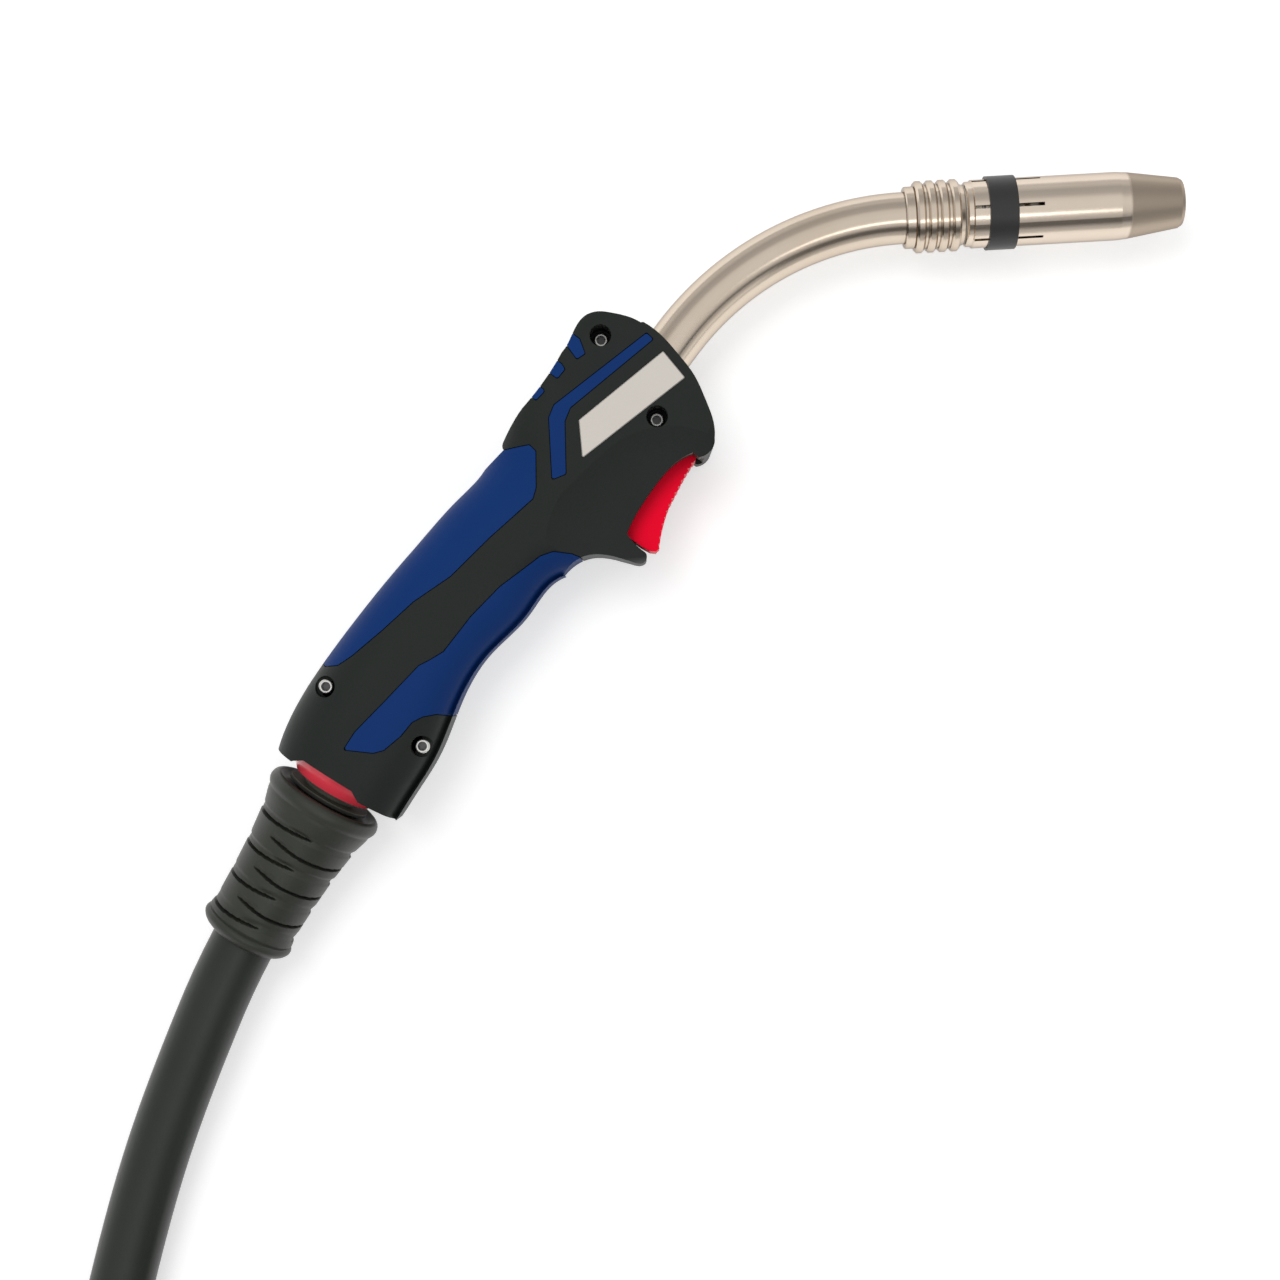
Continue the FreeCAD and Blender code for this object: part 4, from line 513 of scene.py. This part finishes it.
relief = meshObject("bendReliefSkin", latheMesh("bendReliefSkin", reliefRings(), reliefAxes,
                                                reliefSettings["segments"], reliefDent), materials["rubber"])
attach(relief, "cable")
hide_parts("bend_relief")
print("bend relief turned")

# Boot of the connector: rings round a tapered sleeve
bootSettings = {"end": -0.0715, "length": 0.030, "radius": 0.0145, "tipRadius": 0.0115, "bore": 0.0097,
                "ribs": 5, "ribDepth": 0.0014, "ribShare": 0.6, "stepsPerRib": 12, "plainFront": 0.004,
                "plainRear": 0.0015, "segments": 96, "gap": 0.0002, "frontEdge": (0.0004, 0.0005),
                "tipEdge": 0.0004, "tipFace": 0.001, "boreEdge": (0.0008, 0.003)}


def bootRings():
    settings = bootSettings
    bore, front, rear = settings["bore"], settings["end"] - settings["gap"], settings["end"] - settings["length"]
    edgeIn, edgeBack = settings["frontEdge"]
    rings = [(bore, front), (settings["radius"] - edgeIn, front), (settings["radius"], front - edgeBack)]
    steps = settings["ribs"] * settings["stepsPerRib"]
    ribStart, ribEnd = front - settings["plainFront"], rear + settings["plainRear"]
    ribShare = settings["ribShare"]
    for step in range(steps + 1):
        share = step / steps
        radius = settings["radius"] + (settings["tipRadius"] - settings["radius"]) * share
        into = max(0.0, share * settings["ribs"] % 1.0 - ribShare) / (1 - ribShare)
        groove = settings["ribDepth"] * max(0.0, math.sin(math.pi * into))
        rings.append((radius - groove, ribStart + (ribEnd - ribStart) * share))
    tip, tipEdge = settings["tipRadius"], settings["tipEdge"]
    flare, flareDepth = settings["boreEdge"]
    rings += [(tip - tipEdge, rear + tipEdge), (tip - settings["tipFace"], rear)]
    rings += [(bore + flare, rear), (bore, rear + flareDepth)]
    return rings


boot = meshObject("connectorBoot", latheMesh("connectorBoot", bootRings(), plugAxes, bootSettings["segments"]),
                  materials["rubber"])
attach(boot, "cable")
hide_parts("plug_boot")

# A flat tie round the coil's loops where the tail doesn't cross them
tieSettings = {"turn": 0.5, "loops": 4, "width": 0.016, "clearance": 0.0002, "thickness": 0.0012,
               "thicknessRounding": 0.0003, "widthRounding": 0.0004, "samples": 96,
               "outerFloor": 0.0001, "innerFloor": 0.0004}


def makeTie():
    settings = tieSettings
    loops = [coilPlace(settings["turn"] + step) for step in range(settings["loops"])]
    middle = Vector((cableSettings["lead"][-1][0] + cableSettings["coilRadius"], cableSettings["coilY"], 0))
    outward = Vector((loops[0].x - middle.x, loops[0].y - middle.y, 0)).normalized()
    across = Vector((-outward.y, outward.x, 0))
    places = [((loop - middle).dot(outward), loop.z) for loop in loops]
    half, inner = settings["width"] / 2, cableSettings["radius"] + settings["clearance"]
    outer = inner + settings["thickness"]
    cornerOut, cornerSide = outer - settings["thicknessRounding"], half - settings["widthRounding"]
    profile = [(inner, -half), (cornerOut, -half), (outer, -cornerSide), (outer, cornerSide), (cornerOut, half),
               (inner, half)]
    mesh = bmesh.new()
    columns = []
    for sample in range(settings["samples"]):
        turn = 2 * math.pi * sample / settings["samples"]
        way = (math.cos(turn), math.sin(turn))
        at = max(places, key=lambda place: place[0] * way[0] + place[1] * way[1])
        corners = []
        for reachOut, side in profile:
            floor = settings["outerFloor"] if reachOut > inner else settings["innerFloor"]
            height = max(at[1] + way[1] * reachOut, floor)
            corners.append(mesh.verts.new(middle + outward * (at[0] + way[0] * reachOut) + across * side +
                                          Vector((0, 0, height))))
        columns.append(corners)
    joinColumns(mesh, columns)
    data = bpy.data.meshes.new("coilTie")
    mesh.to_mesh(data)
    mesh.free()
    return meshObject("coilTie", data, materials["darkPlastic"])


tie = makeTie()
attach(tie, "cable")

# Floor and light
studio = {
    "floorSize": 12.0, "floorColour": (0.72, 0.72, 0.72, 1), "floorGlow": 0.52, "worldLevel": 1.0,
    "worldSteps": [(0.0, 0.62), (0.30, 0.64), (0.50, 0.44), (0.78, 0.50), (0.90, 0.80), (1.0, 0.84)],
    "darkWay": (0.5, -0.85, 0.0), "darkFrom": 0.2, "darkTo": 0.4,  # the room's unlit side
    "darkSteps": [(0.0, 0.60), (0.24, 0.50), (0.42, 0.10), (0.62, 0.12), (0.74, 0.62), (1.0, 0.84)],
    "lamps": {  # name: place, size, watts
        "upperLeft": ((-0.36, 0.40, 1.15), (0.6, 0.6), 5.2),
        "frontStrip": ((0.10, -0.36, 0.95), (0.6, 0.14), 0.5),
        "rightFill": ((0.8, -0.45, 0.35), (0.5, 0.5), 0.3),
    },
    "softLamps": ["upperLeft"],  # not mirrored in the metal, where they would burn streaks
}


def makeFloor():
    half = studio["floorSize"] / 2
    data = bpy.data.meshes.new("floor")
    data.from_pydata([(-half, -half, 0), (half, -half, 0), (half, half, 0), (-half, half, 0)], [], [(0, 1, 2, 3)])
    floor = bpy.data.objects.new("floor", data)
    bpy.context.scene.collection.objects.link(floor)
    material = bpy.data.materials.new("floor")
    material.use_nodes = True
    tree = material.node_tree
    tree.nodes.clear()
    output = addNode(tree, "ShaderNodeOutputMaterial")
    diffuse = addNode(tree, "ShaderNodeBsdfDiffuse", {"Color": studio["floorColour"]})
    glow = addNode(tree, "ShaderNodeEmission", {"Color": (1, 1, 1, 1)})
    path = addNode(tree, "ShaderNodeLightPath")
    reflected = addNode(tree, "ShaderNodeMath", operation="MAXIMUM")
    seen = addNode(tree, "ShaderNodeMath", operation="MAXIMUM")
    level = addNode(tree, "ShaderNodeMath", operation="MULTIPLY")
    level.inputs[1].default_value = studio["floorGlow"]
    both = addNode(tree, "ShaderNodeAddShader")
    tree.links.new(path.outputs["Is Glossy Ray"], reflected.inputs[0])
    tree.links.new(path.outputs["Is Transmission Ray"], reflected.inputs[1])
    tree.links.new(path.outputs["Is Camera Ray"], seen.inputs[0])
    tree.links.new(reflected.outputs["Value"], seen.inputs[1])
    tree.links.new(seen.outputs["Value"], level.inputs[0])
    tree.links.new(level.outputs["Value"], glow.inputs["Strength"])
    tree.links.new(diffuse.outputs["BSDF"], both.inputs[0])
    tree.links.new(glow.outputs["Emission"], both.inputs[1])
    tree.links.new(both.outputs["Shader"], output.inputs["Surface"])
    data.materials.append(material)


def makeLights():
    for name, (place, size, watts) in studio["lamps"].items():
        lamp = bpy.data.lights.new(name, "AREA")
        lamp.shape = "RECTANGLE"
        lamp.size, lamp.size_y = size
        lamp.energy = watts
        holder = bpy.data.objects.new(name, lamp)
        bpy.context.scene.collection.objects.link(holder)
        holder.visible_glossy = name not in studio["softLamps"]
        holder.location = place
        holder.rotation_euler = (-Vector(place)).to_track_quat("-Z", "Y").to_euler()


def makeWorld():
    world = bpy.data.worlds.new("studio")
    bpy.context.scene.world = world
    world.use_nodes = True
    tree = world.node_tree
    place = addNode(tree, "ShaderNodeTexCoord")
    parts = addNode(tree, "ShaderNodeSeparateXYZ")
    tree.links.new(place.outputs["Generated"], parts.inputs["Vector"])
    skies = []
    for steps in (studio["worldSteps"], studio["darkSteps"]):
        ramp = addNode(tree, "ShaderNodeValToRGB")
        while len(ramp.color_ramp.elements) < len(steps):
            ramp.color_ramp.elements.new(0.5)
        for element, (height, level) in zip(ramp.color_ramp.elements, steps):
            element.position = height
            element.color = (level, level, level, 1)
        tree.links.new(parts.outputs["Z"], ramp.inputs["Fac"])
        skies.append(ramp.outputs["Color"])
    towards = addNode(tree, "ShaderNodeVectorMath", operation="DOT_PRODUCT")
    towards.inputs[1].default_value = studio["darkWay"]
    tree.links.new(place.outputs["Generated"], towards.inputs[0])
    share = addNode(tree, "ShaderNodeMapRange", {"From Min": studio["darkFrom"], "From Max": studio["darkTo"]})
    tree.links.new(towards.outputs["Value"], share.inputs["Value"])
    sky = addNode(tree, "ShaderNodeMix", data_type="RGBA")
    tree.links.new(share.outputs["Result"], sky.inputs["Factor"])
    tree.links.new(skies[0], sky.inputs["A"])
    tree.links.new(skies[1], sky.inputs["B"])
    background = tree.nodes["Background"]
    background.inputs["Strength"].default_value = studio["worldLevel"]
    tree.links.new(sky.outputs["Result"], background.inputs["Color"])


makeFloor()
makeLights()
makeWorld()
bpy.context.scene.view_settings.view_transform = "Standard"
print("studio lit")
